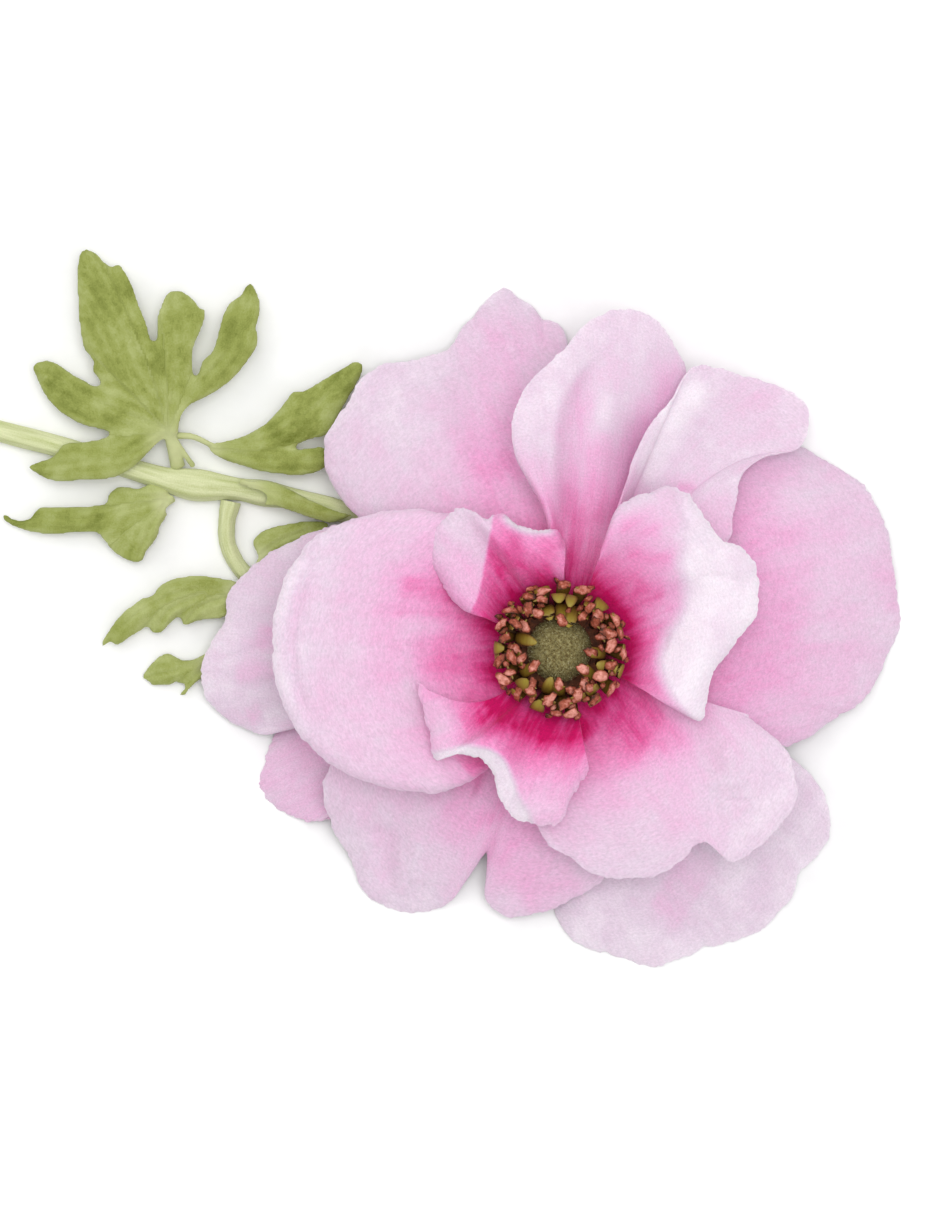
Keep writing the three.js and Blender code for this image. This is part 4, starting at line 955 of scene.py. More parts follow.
stemShape = {
    "path": [
        (-109.5, 39.2, 1.45), (-91.4, 33.9, 1.45), (-72, 28.1, 1.45), (-64.3, 26.1, 1.5),
        (-56.5, 23.7, 1.5), (-48.8, 21.5, 1.5), (-41.7, 20.7, 1.5), (-33.3, 19.2, 1.5), (-26.8, 17.3, 1.5),
        (-16.5, 11.5, 1.7), (-8, 5.6, 2.2), (-2.6, 1.8, 3.4), (-0.4, 0.3, 5), (0, 0, 6.2), (0, 0, 6.9),
    ],
    "stations": 260,
    "radius": 1.4,
    "ridge": 0.05,
    "swells": [(0.545, 0.03, 0.5), (0.62, 0.02, 0.25)],  # share of the length, spread, extra width
}
shootShape = {
    "path": [
        (-42.2, 19, 1.2), (-42.7, 16.5, 1.15), (-42.6, 13.5, 1.15), (-41, 10.4, 1.15), (-38.5, 8, 1.15),
        (-37.5, 5, 1.15), (-38.5, 2.5, 1.15),
    ],
    "stations": 80,
    "radius": 1.1,
    "ridge": 0.04,
    "swells": [(0, 0.1, 0.2)],
}
rodSkin = {
    "around": 40,
    "uneven": ((0.015, 37, 0), (0.012, 91, 1)),  # share of the radius, and the run and start of its wave
    "inset": 0.04,
    "ridges": 7,
    "ridgeTwist": 3,
    "steepest": 0.3,  # sine of the angle to upright at which the neck turns up
}


def makeRod(name, shape, skin, material):
    line = smoothLine(shape["path"], shape["stations"])
    angle = turnsAround(skin["around"])
    run = np.linspace(0, 1, shape["stations"])[:, None]
    even = 1 + sum(share * np.sin(run * wave + start) for share, wave, start in skin["uneven"])
    ridges = shape["ridge"] * np.sin(angle * skin["ridges"] + run * skin["ridgeTwist"])
    radius = shape["radius"] * even - skin["inset"] + ridges
    broad = 1 + sum(extra * np.exp(-(((run - at) / spread) ** 2)) for at, spread, extra in shape["swells"])
    rings = np.stack([radius * np.cos(angle) * broad, radius * np.sin(angle)], -1)
    points = sweep(line, rings, (0, 0, 1), skin["steepest"])
    around = np.tile(angle * shape["radius"], shape["stations"])
    place = np.stack([around, np.repeat(runAlong(line), skin["around"]), 0 * around], 1)
    addPiece(name, points, rodFaces(shape["stations"], skin["around"]), material, {"place": place})


leafSheet = {
    "thickness": 0.6,
    "spacing": 0.3,  # of the points along its outline, mm
    "voxel": 0.26,
    "bladeSmoothing": 2,
    "smoothing": 6,
    "droop": 0.5,  # how far the edges hang below the midrib, mm
    "droopStart": 1.2,
    "waver": 0.16,
    "ribSamples": 60,
    "ribPull": (0.4, 1.5),  # mm2 and power: how a rib's height fades into the next one's
    "groove": 0.2,  # depth of the midrib channel, mm
    "grooveWidth": 0.3,
    "veinRise": 0.07,
    "ripple": 1.5,  # mm from vein to vein, beside the midrib
    "rippleBend": (1.2, 0.5),  # how far they bend and how often
    "slant": 2.4,  # and of the veins that leave it aslant
    "slantLean": 1.5,  # mm along the midrib for each mm off it
    "slantShare": 0.35,
    "veinEdge": 0.7,  # mm from the rim at which veins have faded
    "veinToneEdge": 0.5,
    "topFade": 1.5,  # how soon veins fade toward the leaf's sides
    "ribApart": 9.3,  # sets the grain of one lobe apart from the next
    "leafApart": 5.1,
    "hubReach": 13,  # how far the paler green spreads from the stalk, mm
    "hubStrength": 1.1,
    "stalkStations": 24,
    "stalkAround": 20,
    "stalkTaper": 0.25,
    "stalkReach": 2.4,  # the least reach of a stalk's own colour, mm
    "stalkShare": 0.8,  # its reach as a share of the stalk's length
    "stalkStrength": 1.15,
    "stalkTone": 0.85,
}

# Each leaf: its cut outline; the lines of its lobes from the stalk to the tip, with heights; its stalks,
# each a line and a radius, the first of which carries it; and how pale all of it is.
leaves = {
    "leafUpperLeft": {
        "paler": 0.25,
        "outline": [
            (-48.9, 27.7), (-48.4, 30), (-47.3, 31.3), (-45.4, 32.3), (-43.2, 33.6), (-41.5, 35.1),
            (-40, 36.9), (-38.7, 39), (-38.5, 40.3), (-38.8, 41.3), (-38.3, 43.5), (-38.5, 45.3),
            (-39.6, 47.2), (-40.3, 46.7), (-40.9, 45.6), (-42.2, 44.7), (-43, 43.4), (-43.6, 41.3),
            (-44, 39.6), (-44.5, 38.2), (-45.7, 37.1), (-46.2, 35.7), (-46.7, 34.5), (-47, 36.2),
            (-47, 38.2), (-46.6, 39.5), (-45.8, 41.3), (-45.4, 42.7), (-45.5, 43.8), (-46.2, 43.9),
            (-46.6, 44.7), (-47.3, 45.4), (-48.5, 46.1), (-49.5, 46.2), (-50.4, 45.8), (-50.9, 44.7),
            (-51.5, 43), (-51.6, 41.1), (-51.7, 39.6), (-52.2, 39.6), (-52.7, 41.3), (-53.4, 43.1),
            (-54.2, 45.2), (-54.9, 47.1), (-55.7, 48.5), (-56.5, 49.6), (-57.6, 49.3), (-58.5, 49.9),
            (-59.3, 50.8), (-60.2, 51.4), (-61, 51.5), (-61.6, 51), (-61.9, 49.4), (-61.9, 46.9),
            (-61.8, 43.6), (-61.5, 41.1), (-61, 38.5), (-60.3, 37.7), (-59.8, 36.9), (-60, 35.9),
            (-59.4, 35), (-58.8, 34.1), (-59.6, 33.8), (-60.7, 34.4), (-62, 35.1), (-63.4, 36),
            (-64.7, 36.9), (-66, 37.2), (-67.2, 36.9), (-67.8, 36.3), (-67.4, 35.3), (-66.7, 33.7),
            (-65.8, 32.2), (-64.5, 30.8), (-62.8, 29.6), (-60.9, 28.7), (-58.9, 28.2), (-57.4, 27.8),
            (-58.4, 27.2), (-60.2, 26.8), (-62.1, 26.6), (-63.6, 26.4), (-64.5, 25.4), (-65.4, 24.6),
            (-66.9, 24.1), (-68.3, 23.4), (-67.6, 22.8), (-66.4, 22.1), (-65.1, 21.6), (-61.5, 21.6),
            (-58.9, 21.7), (-56.9, 22.1), (-54.7, 23.3), (-53.1, 24.8), (-51.8, 26.1), (-50.8, 27),
            (-49.8, 26.9),
        ],
        "ribs": [
            [(-50.2, 27.7, 3.4), (-52.5, 34.6, 4.2), (-56.6, 43, 4.4), (-60.5, 50.3, 3)],
            [(-50.2, 27.7, 3.4), (-51.5, 34.6, 4.2), (-53.8, 42.3, 4.3), (-56.5, 48.8, 3.2)],
            [(-50.2, 27.7, 3.4), (-49.1, 34.6, 4), (-48.6, 40.4, 4), (-49, 45.4, 3)],
            [(-49.9, 28.2, 3.4), (-46.7, 33.1, 3.9), (-41.9, 39.1, 4), (-39.7, 46.2, 2.8)],
            [(-50.6, 28.2, 3.4), (-56.4, 30.5, 3.8), (-62.1, 33.1, 3.6), (-66.9, 36.4, 2.6)],
            [(-50.4, 27.4, 3.4), (-55.7, 24.6, 4), (-61.5, 24.1, 4), (-67.7, 23.4, 2.8)],
        ],
        "stalks": [
            ([(-49, 23.35, 1.6), (-49.4, 25.2, 2.3), (-50.2, 28.4, 3.2)], 1.0),
            ([(-46.9, 23.4, 2.6), (-48, 25, 2.9), (-49.6, 27.6, 3.3)], 0.42),
        ],
    },
    "leafLowerLeft": {
        "outline": [
            (-50.3, 19.7), (-50.4, 21), (-51.3, 21.6), (-52.8, 21.3), (-54.1, 20.7), (-55.4, 20.9),
            (-56.6, 21), (-57.2, 20.6), (-58, 20), (-58.2, 18.9), (-59.6, 18.5), (-62.2, 18.4),
            (-64.8, 18.3), (-67, 18.2), (-67.6, 17.5), (-68, 16.9), (-69.3, 16.6), (-70.6, 16.9),
            (-71.5, 17.5), (-71.8, 17), (-70.9, 16.1), (-69.6, 15.5), (-68.3, 15.1), (-66.5, 14.8),
            (-64.2, 14.8), (-61.6, 14.9), (-59.4, 14.9), (-58.5, 13.9), (-57.6, 12.7), (-56.4, 11.8),
            (-55.1, 11.2), (-53.6, 11.3), (-53.1, 12.5), (-52.2, 13.5), (-51.5, 14.7), (-51.1, 16),
            (-50.4, 17.1), (-50.5, 18.3), (-50.2, 19),
        ],
        "ribs": [
            [(-50.2, 19.2, 2), (-55.1, 18, 2.6), (-61.6, 16.7, 2.8), (-71.3, 17.1, 1.6)],
            [(-50.2, 19.2, 2), (-51.9, 16.6, 2.8), (-54.2, 11.8, 2)],
            [(-50.2, 19.4, 2), (-53.8, 19.6, 2.4), (-57.5, 19.5, 2.2)],
        ],
        "stalks": [([(-49.6, 19.5, 1.5), (-50.2, 19, 1.8), (-51.4, 18.2, 2.3)], 0.6)],
    },
    "leafRight": {
        "outline": [
            (-45, 25.9), (-44.3, 26.5), (-42.8, 26.8), (-40.9, 27.3), (-39, 28.2), (-37.4, 29.2),
            (-36.1, 30.6), (-34.9, 32.1), (-34, 33.2), (-32.8, 33.2), (-31.2, 34.1), (-29.3, 35.3),
            (-27.4, 36.4), (-26.1, 37.1), (-25.1, 36.6), (-25.2, 35.5), (-26, 33.9), (-27.3, 31.7),
            (-28.4, 29.5), (-29.2, 27.7), (-30.6, 27.2), (-32.2, 26.8), (-33.4, 26.3), (-34.7, 25.7),
            (-33.2, 25.7), (-31.2, 26), (-29.9, 25.9), (-29.2, 25), (-29.6, 23.7), (-30.4, 23),
            (-31.6, 22.5), (-33.8, 22.3), (-36.4, 22.5), (-38.6, 22.9), (-40.9, 23.6), (-42.8, 24.2),
            (-44.4, 25.1),
        ],
        "ribs": [
            [(-44.8, 26, 3), (-37.7, 26.9, 3.9), (-31.9, 30.5, 3.8), (-25.8, 36.4, 2.6)],
            [(-44.8, 25.7, 3), (-39, 24.6, 3.7), (-33.2, 24.2, 3.7), (-29.6, 24.6, 3.2)],
        ],
        "stalks": [([(-49.3, 27.5, 2.7), (-47, 27.3, 2.9), (-44, 25.9, 3.1)], 0.5)],
    },
    "leafMiddle": {
        "outline": [
            (-40.1, 21.3), (-38.6, 21.7), (-37, 21.6), (-35.3, 21), (-33.5, 20.1), (-31.9, 19.2),
            (-29.9, 18.3), (-28, 17.6), (-26.3, 17.2), (-27.4, 16.7), (-29.2, 16.1), (-30.8, 16.5),
            (-32.5, 17), (-34.4, 17.7), (-36.4, 18.3), (-37.9, 18.5), (-37.4, 19.4), (-38.4, 20.3),
            (-39.6, 20.6),
        ],
        "ribs": [[(-39.8, 21, 4), (-34.4, 19.2, 4.3), (-26.7, 17.2, 4)]],
        "stalks": [([(-41, 21.6, 3.8), (-39.8, 21.2, 3.9), (-38.4, 20.8, 4.1)], 0.5)],
    },
    "leafShootUpper": {
        "outline": [
            (-39.4, 13.9), (-38.1, 15.2), (-36.4, 15.8), (-34.5, 16.2), (-32.6, 16.5), (-30.6, 16.5),
            (-29.4, 16.1), (-30.4, 14.9), (-32.2, 13.9), (-34, 12.9), (-35.8, 12.1), (-37.5, 11.4),
            (-38.4, 11.6), (-39, 12.6),
        ],
        "ribs": [[(-38.8, 11.6, 2.2), (-36, 13.8, 2.5), (-30, 16, 2.2)]],
        "stalks": [([(-39, 10.4, 1.9), (-38.6, 11, 2.1), (-37.8, 12.4, 2.3)], 0.45)],
    },
    "leafShootLeft": {
        "paler": 0.85,
        "outline": [
            (-41.2, 8.5), (-43.3, 9.1), (-45.5, 9.4), (-47.4, 9.4), (-49.4, 9.1), (-50.6, 8.6),
            (-51.7, 7.8), (-52.2, 6.9), (-53.5, 6.6), (-54.6, 5.8), (-55.9, 4.9), (-57.1, 3.6),
            (-58, 2.3), (-58.8, 1), (-58.9, 0.1), (-57.6, 0.9), (-57.2, 0.4), (-56.6, 0.5), (-55.7, 1.1),
            (-54.4, 1.9), (-53.1, 2.7), (-52.6, 2.7), (-52.5, 2), (-51.9, 1.9), (-50.9, 2.2),
            (-50.4, 2.8), (-49.6, 3.6), (-48.8, 4.1), (-48.6, 3.6), (-48.2, 2.9), (-47.3, 3.2),
            (-46.1, 3.6), (-44.6, 3.7), (-43, 4), (-41.7, 5), (-40.8, 6.6),
        ],
        "ribs": [
            [(-41, 7.3, 2.3), (-47.4, 7.6, 2.8), (-53.9, 4.7, 2.6), (-58.6, 0.4, 1.4)],
            [(-46.1, 6.8, 2.7), (-50, 5, 2.6), (-51.8, 2.2, 1.8)],
            [(-42.9, 6.6, 2.4), (-46.1, 5.3, 2.5), (-48.1, 3.2, 1.9)],
        ],
        "stalks": [([(-40, 7.2, 2.1), (-40.6, 7.3, 2.3), (-42, 7.1, 2.4)], 0.5)],
    },
    "leafShootLow": {
        "paler": 0.7,
        "outline": [
            (-44.6, -0.2), (-45.7, -0.7), (-46.7, -1.2), (-48, -1.5), (-49.2, -1.1), (-50.3, -0.5),
            (-51.4, -0.9), (-52.3, -1.6), (-53, -2.5), (-53.7, -3.5), (-53.5, -4.2), (-52.9, -3.9),
            (-52.8, -4.7), (-52, -4.9), (-51, -4.7), (-50.2, -4.8), (-49.3, -4.4), (-48.5, -4.6),
            (-47.7, -4.3), (-48.4, -5.3), (-49, -6.2), (-48.2, -6.1), (-47.5, -5.2), (-46.7, -4.4),
            (-45.7, -3.7), (-44.8, -2.2),
        ],
        "ribs": [
            [(-45.1, -1.2, 1.2), (-48.8, -2.7, 1.7), (-53.3, -3.8, 1)],
            [(-45.4, -2, 1.2), (-47, -3.8, 1.4), (-48.8, -6, 0.8)],
        ],
        "stalks": [([(-39.3, 1.4, 1.1), (-42, 1.2, 1), (-44.4, -0.2, 1), (-46, -1.6, 1.3)], 0.5)],
    },
}


def readMesh(mesh):
    points, normals = np.empty((2, len(mesh.vertices) * 3), dtype=np.float32)
    mesh.vertices.foreach_get("co", points)
    mesh.vertices.foreach_get("normal", normals)
    faces = [tuple(face.vertices) for face in mesh.polygons]
    return points.reshape(-1, 3).astype(float), faces, normals.reshape(-1, 3).astype(float)


# One even skin over closed shells that may run into each other.
def skinned(points, faces, voxel, smoothing):
    mesh = bpy.data.meshes.new("skin")
    mesh.from_pydata(points.tolist(), [], faces)
    block = addToScene("skin", mesh)
    change = block.modifiers.new("remesh", "REMESH")
    change.mode = "VOXEL"
    change.voxel_size = voxel
    evening = block.modifiers.new("smooth", "SMOOTH")
    evening.iterations = smoothing
    evening.factor = 0.5
    graph = bpy.context.evaluated_depsgraph_get()
    made = bpy.data.meshes.new_from_object(block.evaluated_get(graph))
    result = readMesh(made)
    bpy.data.objects.remove(block)
    bpy.data.meshes.remove(mesh)
    bpy.data.meshes.remove(made)
    return result


# For each place: distance to the nearest rib, also with its side; how far along which rib it is; and the
# ribs' blended height.
def ribField(x, y, ribs, sheet):
    best = np.full(len(x), 1e9)
    cross, along, which, weight, height = np.zeros((5, len(x)))
    for k, rib in enumerate(ribs):
        line = smoothLine(rib, sheet["ribSamples"])
        gaps = np.hypot(x[:, None] - line[None, :, 0], y[:, None] - line[None, :, 1])
        nearest = gaps.argmin(axis=1)
        gap = gaps[np.arange(len(x)), nearest]
        pull = 1 / (gap**2 + sheet["ribPull"][0]) ** sheet["ribPull"][1]
        weight += pull
        height += pull * line[nearest, 2]
        closer = gap < best
        tangent = np.gradient(line[:, :2], axis=0)[nearest]
        turn = tangent[:, 0] * (y - line[nearest, 1]) - tangent[:, 1] * (x - line[nearest, 0])
        step = np.linalg.norm(line[1] - line[0])
        best[closer] = gap[closer]
        cross[closer] = (np.sign(turn) * gap)[closer]
        along[closer] = (nearest * step)[closer]
        which[closer] = k
    return best, cross, along, which, height / weight


def rimDistance(x, y, outline):
    rimGap = np.full(len(x), 1e9)
    for cornerX, cornerY in outline:
        rimGap = np.minimum(rimGap, np.hypot(x - cornerX, y - cornerY))
    return rimGap


def shareAcross(gap, rimGap):  # 0 on the midrib, 1 at the edge
    return gap / (gap + rimGap + 1e-6)


def makeBlade(leaf, outline, sheet, own):
    count = len(outline)
    half = sheet["thickness"] / 2
    slab = np.vstack([np.column_stack([outline, np.full(count, z)]) for z in (-half, half)])
    walls = [(i, (i + 1) % count, (i + 1) % count + count, i + count) for i in range(count)]
    caps = [tuple(range(count))[::-1], tuple(range(count, 2 * count))]
    blade, faces, _ = skinned(slab, walls + caps, sheet["voxel"], sheet["bladeSmoothing"])
    x, y = blade[:, 0], blade[:, 1]
    gap, *_, height = ribField(x, y, leaf["ribs"], sheet)
    across = shareAcross(gap, rimDistance(x, y, outline))
    blade[:, 2] += height - sheet["droop"] * across**2 * soft(gap / sheet["droopStart"])
    blade[:, 2] += sheet["waver"] * wavering(x, y, own)
    return blade, faces


def makeStalk(path, radius, sheet):
    line = smoothLine(path, sheet["stalkStations"])
    taper = 1 - sheet["stalkTaper"] * np.linspace(0, 1, len(line))
    rings = ellipse(radius * 2, radius * 2, sheet["stalkAround"]) * taper[:, None, None]
    return sweep(line, rings, (0, 0, 1)), rodFaces(len(line), sheet["stalkAround"])


# 0 between the veins and 1 on them: some run along the midrib, others leave it aslant.
def veinPattern(gap, along, which, sheet):
    far, often = sheet["rippleBend"]
    bend = far * np.sin(along * often + which * 2)
    ripple = 0.5 + 0.5 * np.sin(gap * 2 * math.pi / sheet["ripple"] + bend)
    aslant = along - gap * sheet["slantLean"]
    slant = 0.5 + 0.5 * np.sin(aslant * 2 * math.pi / sheet["slant"] + which)
    return ripple * (1 - sheet["slantShare"]) + slant * sheet["slantShare"]


def makeLeaf(name, leaf, sheet, material, seed):
    own = np.random.default_rng(seed)
    outline = closedLine(leaf["outline"], sheet["spacing"])
    parts = [makeBlade(leaf, outline, sheet, own)]
    parts += [makeStalk(path, radius, sheet) for path, radius in leaf["stalks"]]
    skin, faces, normals = skinned(*joined(parts), sheet["voxel"], sheet["smoothing"])
    x, y = skin[:, 0], skin[:, 1]
    gap, cross, along, which, _ = ribField(x, y, leaf["ribs"], sheet)
    rimGap = rimDistance(x, y, outline)
    vein = veinPattern(gap, along, which, sheet)
    groove = sheet["groove"] * np.exp(-(gap / sheet["grooveWidth"]) ** 2)
    offset = sheet["veinRise"] * (vein - 0.5) * soft(rimGap / sheet["veinEdge"]) - groove
    skin = skin + normals * (soft(normals[:, 2] * sheet["topFade"]) * offset)[:, None]
    line = smoothLine(leaf["stalks"][0][0], sheet["stalkStations"])
    toStalk = np.linalg.norm(skin - line[len(line) // 2], axis=1)
    stalkReach = max(sheet["stalkReach"], np.linalg.norm(line[-1] - line[0]) * sheet["stalkShare"])
    hub = soft(sheet["hubStrength"] - toStalk / sheet["hubReach"])
    values = {
        "place": np.stack([cross, along, which * sheet["ribApart"] + seed * sheet["leafApart"]], 1),
        "across": shareAcross(gap, rimGap),
        "vein": vein * soft(rimGap / sheet["veinToneEdge"]),
        "stalk": soft(sheet["stalkStrength"] - toStalk / stalkReach) * sheet["stalkTone"],
        "hub": np.maximum(hub, leaf.get("paler", 0)),
    }
    addPiece(name, skin, faces, material, values)


# The turned body that carries the petals: its side line as (radius, height), from the foot up.
receptacleShape = {
    "profile": [
        (0.3, 7.25), (2.4, 7.35), (3.8, 8.0), (4.25, 9.2), (4.2, 10.8), (4.3, 12.2), (5.2, 12.5),
        (5.5, 12.9), (5.2, 13.25), (3, 13.3), (0.3, 13.3),
    ],
    "rings": 90,
    "around": 96,
    "ribs": 20,
    "ribDepth": 0.06,
    "ribStart": 1,  # mm from the axis
}


def makeReceptacle(s, material):
    line = smoothLine(s["profile"], s["rings"])
    angle = turnsAround(s["around"])
    ribs = s["ribDepth"] * (1 + np.cos(angle * s["ribs"]))
    reach = line[:, :1] - ribs * soft(line[:, :1] - s["ribStart"])
    points = np.stack([reach * np.cos(angle), reach * np.sin(angle), line[:, 1:] + 0 * angle], -1)
    points = points.reshape(-1, 3)
    faces = rodFaces(s["rings"], s["around"])
    addPiece("receptacleBody", points, faces, material, {"place": points}, "receptacle")


domeShape = {
    "foot": 13.6,
    "radius": 4.1,
    "top": 16.6,
    "flatness": 3.2,  # powers of its side line: how flat the top is
    "shoulder": 0.6,  # and how square the shoulder
    "rings": 36,
    "around": 72,
    "bumps": ((0.1, 7, 8), (0.08, 13, 11)),  # height in mm, and how close their waves are over x and y
    "baseRise": 0.02,  # mm of its lowest ring over its foot
    "sunk": 0.12,  # mm of the dome under its fibres
    "lift": 0.15,
    "fibres": 1500,
    "fibreRing": 0.97,  # share of the radius that they cover
    "fibreLength": 0.42,
    "fibreLengths": (0.6, 1.3),  # shares of it
    "fibreOrigin": 5,  # they point away from a spot this far below them, mm
    "fibreStray": 6,  # the higher, the more they stray from that
    "fibreLean": 0.55,
    "fibreBright": (0.3, 1.0),
    "fibreLifts": (0.5, 1.4),  # at its root and at its tip
    "fibreRadius": 0.05,
    "fibreRoot": 0.2,  # mm that they start below the dome's height
    "seed": 7,
}
goldenTurn = 2.39996


def domeHeight(s, r):
    share = np.clip(r / s["radius"], 0, 1)
    return s["foot"] + (s["top"] - s["foot"]) * (1 - share ** s["flatness"]) ** s["shoulder"]


# A thin pyramid that stands for one fibre.
def fibreMesh(root, out, length, radius):
    anyOther = (0.3, 0.8, 0.2)
    side = unit(np.cross(out, anyOther))
    other = np.cross(out, side)
    foot = [root + radius * (math.cos(turn) * side + math.sin(turn) * other) for turn in turnsAround(3)]
    return np.vstack(foot + [root + out * length]), [(0, 1, 3), (1, 2, 3), (2, 0, 3), (2, 1, 0)]


def makeDome(s, material):
    own = np.random.default_rng(s["seed"])
    share = np.sin(np.linspace(0, math.pi / 2, s["rings"]))[:, None]
    angle = turnsAround(s["around"])
    r = s["radius"] * share + 0 * angle
    x, y = r * np.cos(angle), r * np.sin(angle)
    (high, highX, highY), (low, lowX, lowY) = s["bumps"]
    bumpy = high * np.sin(x * highX + 1) * np.sin(y * highY) + low * np.sin(x * lowX + y * lowY)
    z = domeHeight(s, r) - s["sunk"] + bumpy * (1 - share**6)
    base = np.stack([x[-1], y[-1], np.full(s["around"], s["foot"] + s["baseRise"])], -1)
    points = np.vstack([np.stack([x, y, z], -1).reshape(-1, 3), base])
    last = s["rings"] * s["around"]
    faces = ringFaces(s["rings"] + 1, s["around"], flipped=True)
    faces.append(tuple(range(last, last + s["around"]))[::-1])
    parts, lift = [(points, faces)], [s["lift"]] * len(points)
    for k in range(s["fibres"]):
        radius = s["radius"] * s["fibreRing"] * math.sqrt((k + 0.5) / s["fibres"])
        turn = k * goldenTurn
        height = domeHeight(s, radius) - s["fibreRoot"]
        root = np.array([radius * math.cos(turn), radius * math.sin(turn), height])
        outward = np.array([root[0], root[1], s["fibreOrigin"]]) / s["fibreStray"]
        out = unit(outward + own.normal(0, s["fibreLean"], 3))
        length = s["fibreLength"] * own.uniform(*s["fibreLengths"])
        parts.append(fibreMesh(root, out, length, s["fibreRadius"]))
        atRoot, atTip = own.uniform(*s["fibreBright"]) ** 2 * np.array(s["fibreLifts"])
        lift += [atRoot] * 3 + [atTip]
    points, faces = joined(parts)
    addPiece("pistilDome", points, faces, material, {"place": points, "lift": lift})


# The rings of stamens, from the outermost in. An anther's lie is how far it runs round, out and up, its
# face is how far it looks out and up. The sprays in "bare", counted from 0, have no anther on that strap.
stamenKinds = [
    {
        "foot": 5.35, "belly": 8.1, "tip": 7.9, "bellyHeight": 15.8, "tipHeight": 17.4, "strap": 1.85,
        "anther": (2.4, 1.4), "lie": (1, -0.3, 0.3), "face": (0.6, 0.7), "turn": -5, "jitter": 0.3,
        "bare": (3, 10, 14, 19),
    },
    {
        "foot": 5.1, "belly": 6.9, "tip": 6.6, "bellyHeight": 16.6, "tipHeight": 18.5, "strap": 1.75,
        "anther": (2.2, 1.35), "lie": (0.6, -0.7, 0.2), "face": (0.15, 1), "turn": 4, "jitter": 0.5,
        "bare": (4, 5, 12),
    },
    {
        "foot": 4.9, "belly": 5.7, "tip": 4.75, "bellyHeight": 16, "tipHeight": 18, "strap": 1.6,
        "anther": (2.1, 1.3), "lie": (0.35, -1, 0.1), "face": (-0.3, 1), "turn": -1, "jitter": 1.1,
        "bare": (4, 6, 9, 14, 19),
    },
]
stamenShape = {
    "sprays": 20,
    "seed": 100,
    "stations": 16,
    "around": 12,
    "footHeight": 13.8,
    "thickness": 0.26,
    "footWidth": 0.8,
    "widening": 1.6,  # how soon a strap reaches its full width
    "broad": (0.85, 1.15),
    "rounding": (0.72, 0.29, 0.02),  # where a bare tip starts to round, over how much, and its least
    "edgeShade": 0.4,  # how much browner a strap's two edges are
    "paling": 0.7,  # how soon a strap pales from its foot
    "lean": (-4, 4),  # degrees
    "tipRise": (-0.6, 0.4),
    "bareTip": (0.9, 0.25),  # how far a bare tip goes on, in and up
    "lieJitter": 0.3,
    "faceJitter": 0.16,
    "sizes": (0.85, 1.12),
    "shades": (-0.3, 0.12),
    "antherOff": 0.1,  # mm off its strap's tip
    "chip": (1.3, 0.85),  # the second, smaller flake of an anther
    "chips": 0.85,  # share of anthers that have one
    "chipStation": 4,  # counted down from its strap's tip
    "chipAt": (0.8, 0.35),  # mm round and out from its strap
    "chipLieJitter": 0.6,
    "chipShades": (-0.5, -0.1),
}
flakeShape = {
    "around": 12,
    "rings": (  # share of the size, height and lightness, from the crown to the base
        (0.55, 0.14, 0.72), (0.82, 0.1, 0.55), (1.0, 0.0, 0.14), (0.88, -0.09, 0.0), (0.5, -0.12, 0.0)),
    "crown": 0.15,
    "crownJitter": (-0.07, 0.07),
    "crownLight": 0.8,
    "base": 0.13,
    "turnJitter": (-0.12, 0.12),
    "reach": (0.74, 1.18),
    "droop": (0.15, 0.4),
    "sideDroop": 0.12,
    "lumps": (-0.05, 0.05),
    "mottle": (-0.16, 0.16),
}


def polar(angle, radius, height):
    a = math.radians(angle)
    return np.array([radius * math.cos(a), radius * math.sin(a), height])


# A ragged flake of an anther: its points and faces, and how light each point is.
def makeFlake(s, centre, long, face, size, shade, own):
    around = s["around"]
    long = unit(long)
    side = unit(np.cross(face, long))
    face = np.cross(long, side)
    turn = turnsAround(around) + own.uniform(*s["turnJitter"], around)
    reach = own.uniform(*s["reach"], around)
    droop = own.uniform(*s["droop"])
    rings = []
    for share, height, _ in s["rings"]:
        along, across = np.cos(turn) * reach * share, np.sin(turn) * reach * share
        lift = height + own.uniform(*s["lumps"], around) - droop * along**2 - s["sideDroop"] * across**2
        flat = np.outer(along * size[0] / 2, long) + np.outer(across * size[1] / 2, side)
        rings.append(centre + flat + np.outer(lift, face))
    crown = centre + face * (s["crown"] + own.uniform(*s["crownJitter"]))
    points = np.vstack(rings + [crown, centre - face * s["base"]])
    faces = ringFaces(len(rings), around, flipped=True)
    last, top = (len(rings) - 1) * around, len(rings) * around
    for i in range(around):
        j = (i + 1) % around
        faces += [(i, j, top), (last + j, last + i, top + 1)]
    light = np.repeat([ring[2] for ring in s["rings"]], around)
    light = np.append(light, [s["crownLight"], 0]) + shade + own.uniform(*s["mottle"], len(points))
    return points, faces, np.clip(light, 0, 1)


def makeStrap(s, line, strap, broad, out, rounded):
    t = np.linspace(0, 1, s["stations"])
    width = (s["footWidth"] + (strap - s["footWidth"]) * soft(t * s["widening"])) * broad
    if rounded:
        start, over, least = s["rounding"]
        width *= np.sqrt(np.clip(1 - np.clip((t - start) / over, 0, None) ** 2, least, None))
    rings = ellipse(1, 1, s["around"]) * np.stack([width, np.full_like(t, s["thickness"])], 1)[:, None]
    shading = 1 - s["edgeShade"] * np.cos(turnsAround(s["around"])) ** 4
    light = np.outer(t ** s["paling"], shading).ravel()
    return sweep(line, rings, out), rodFaces(s["stations"], s["around"]), light


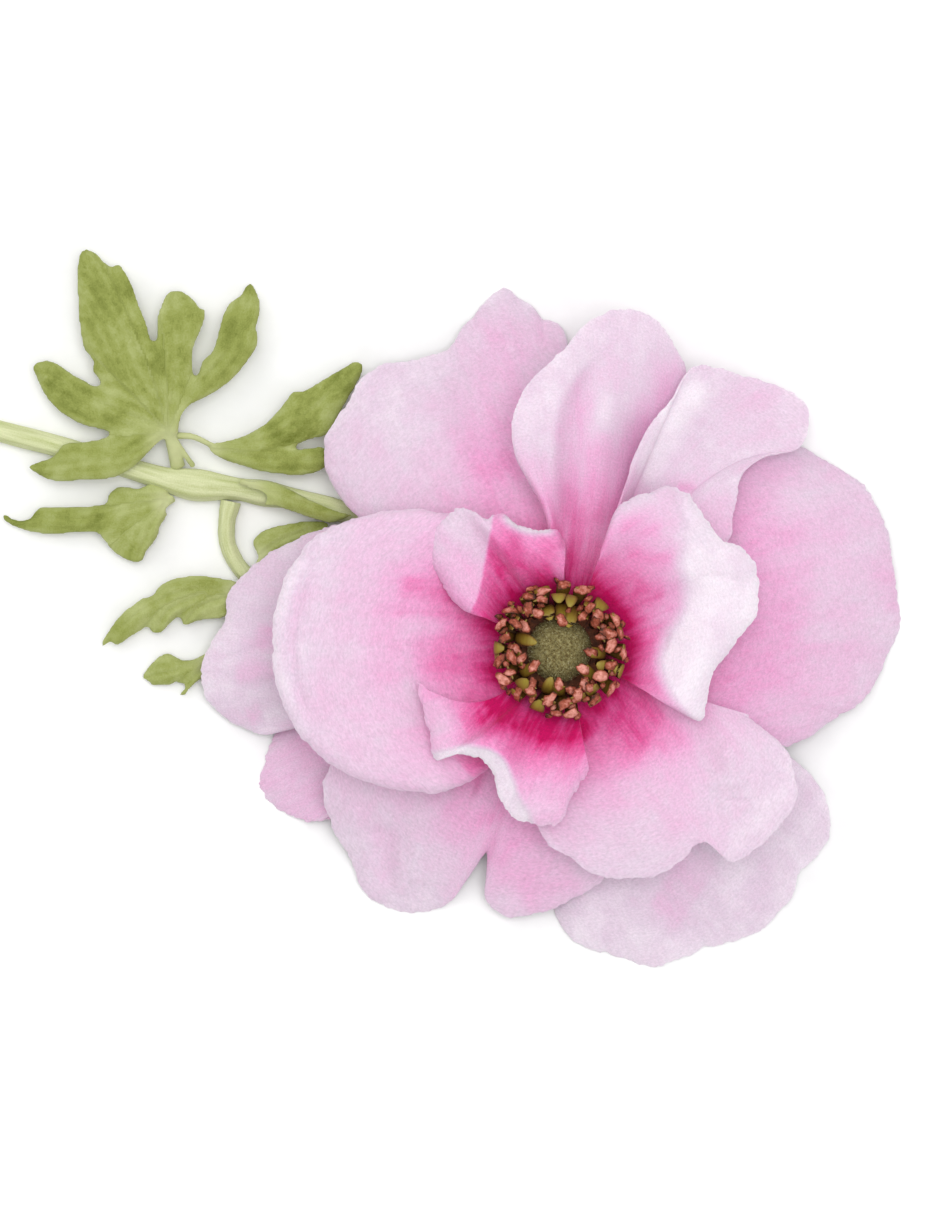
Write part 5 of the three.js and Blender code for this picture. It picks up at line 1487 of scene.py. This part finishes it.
# The strap and the flakes of one stamen of a spray, each with its material's number.
def makeStamen(s, flake, kind, k, own):
    angle = k * 360 / s["sprays"]
    lean = angle + kind["turn"] + own.uniform(*s["lean"])
    tip = kind["tip"] + own.uniform(-1, 1) * kind["jitter"]
    path = [polar(angle, kind["foot"], s["footHeight"]),
            polar(lean, kind["belly"], kind["bellyHeight"]),
            polar(lean, tip, kind["tipHeight"] + own.uniform(*s["tipRise"]))]
    bare = k in kind["bare"]
    if bare:
        path.append(polar(lean, tip - s["bareTip"][0], kind["tipHeight"] + s["bareTip"][1]))
    line = smoothLine(path, s["stations"])
    out, across = polar(lean, 1, 0), polar(lean + 90, own.choice([-1, 1]), 0)
    parts = [(*makeStrap(s, line, kind["strap"], own.uniform(*s["broad"]), out, bare), 0)]
    if bare:
        return parts
    up = np.array([0, 0, 1.0])
    lie = kind["lie"][0] * across + kind["lie"][1] * out + kind["lie"][2] * up
    lie += own.normal(0, s["lieJitter"], 3)
    face = kind["face"][0] * out + kind["face"][1] * up + own.normal(0, s["faceJitter"], 3)
    size = np.array(kind["anther"]) * own.uniform(*s["sizes"])
    shade = own.uniform(*s["shades"])
    parts.append((*makeFlake(flake, line[-1] + face * s["antherOff"], lie, face, size, shade, own), 1))
    if own.uniform() < s["chips"]:
        spot = line[-s["chipStation"]] + across * s["chipAt"][0] + out * s["chipAt"][1]
        lie += own.normal(0, s["chipLieJitter"], 3)
        shade = own.uniform(*s["chipShades"])
        parts.append((*makeFlake(flake, spot, lie, face, s["chip"], shade, own), 1))
    return parts


def makeStamens(s, flake, kinds, filamentMaterial, antherMaterial):
    for k in range(s["sprays"]):
        own = np.random.default_rng(s["seed"] + k)
        parts = [part for kind in kinds for part in makeStamen(s, flake, kind, k, own)]
        points, faces = joined([(made, sides) for made, sides, _, _ in parts])
        values = {"place": points, "lift": np.concatenate([lift for _, _, lift, _ in parts])}
        node = f"stamen_spray_{k + 1:02d}"
        piece = addPiece(f"stamenSpray{k + 1:02d}", points, faces, filamentMaterial, values, node)
        piece.data.materials.append(antherMaterial)
        numbers = np.repeat([number for _, _, _, number in parts], [len(sides) for _, sides, _, _ in parts])
        piece.data.polygons.foreach_set("material_index", numbers)


makeCamera(cameraSettings)
makeLights(lightSettings)
makeTable(tableLook)
print("camera, lights and table made")

petalMaterial = makePetalMaterial(petalLook)
for seed, (name, petal) in enumerate(petals.items()):
    makePetal(name, petal, petalSheet, petalMaterial, seed + 1)
print("petals made:", len(petals))

stemMaterial = makeGrownMaterial("pale stem", stemLook)
makeRod("stem", stemShape, rodSkin, stemMaterial)
makeRod("sideShoot", shootShape, rodSkin, stemMaterial)
print("stem and shoot made")

leafMaterial = makeLeafMaterial(leafLook)
for seed, (name, leaf) in enumerate(leaves.items()):
    makeLeaf(name, leaf, leafSheet, leafMaterial, seed + 1)
print("leaves made:", len(leaves))

makeReceptacle(receptacleShape, makeGrownMaterial("brown receptacle", receptacleLook))
makeDome(domeShape, makeGrownMaterial("felted dome", domeLook))
filamentMaterial = makeGrownMaterial("olive filament", filamentLook)
antherMaterial = makeGrownMaterial("dusty anther", antherLook)
makeStamens(stamenShape, flakeShape, stamenKinds, filamentMaterial, antherMaterial)
print("receptacle, dome and stamens made")
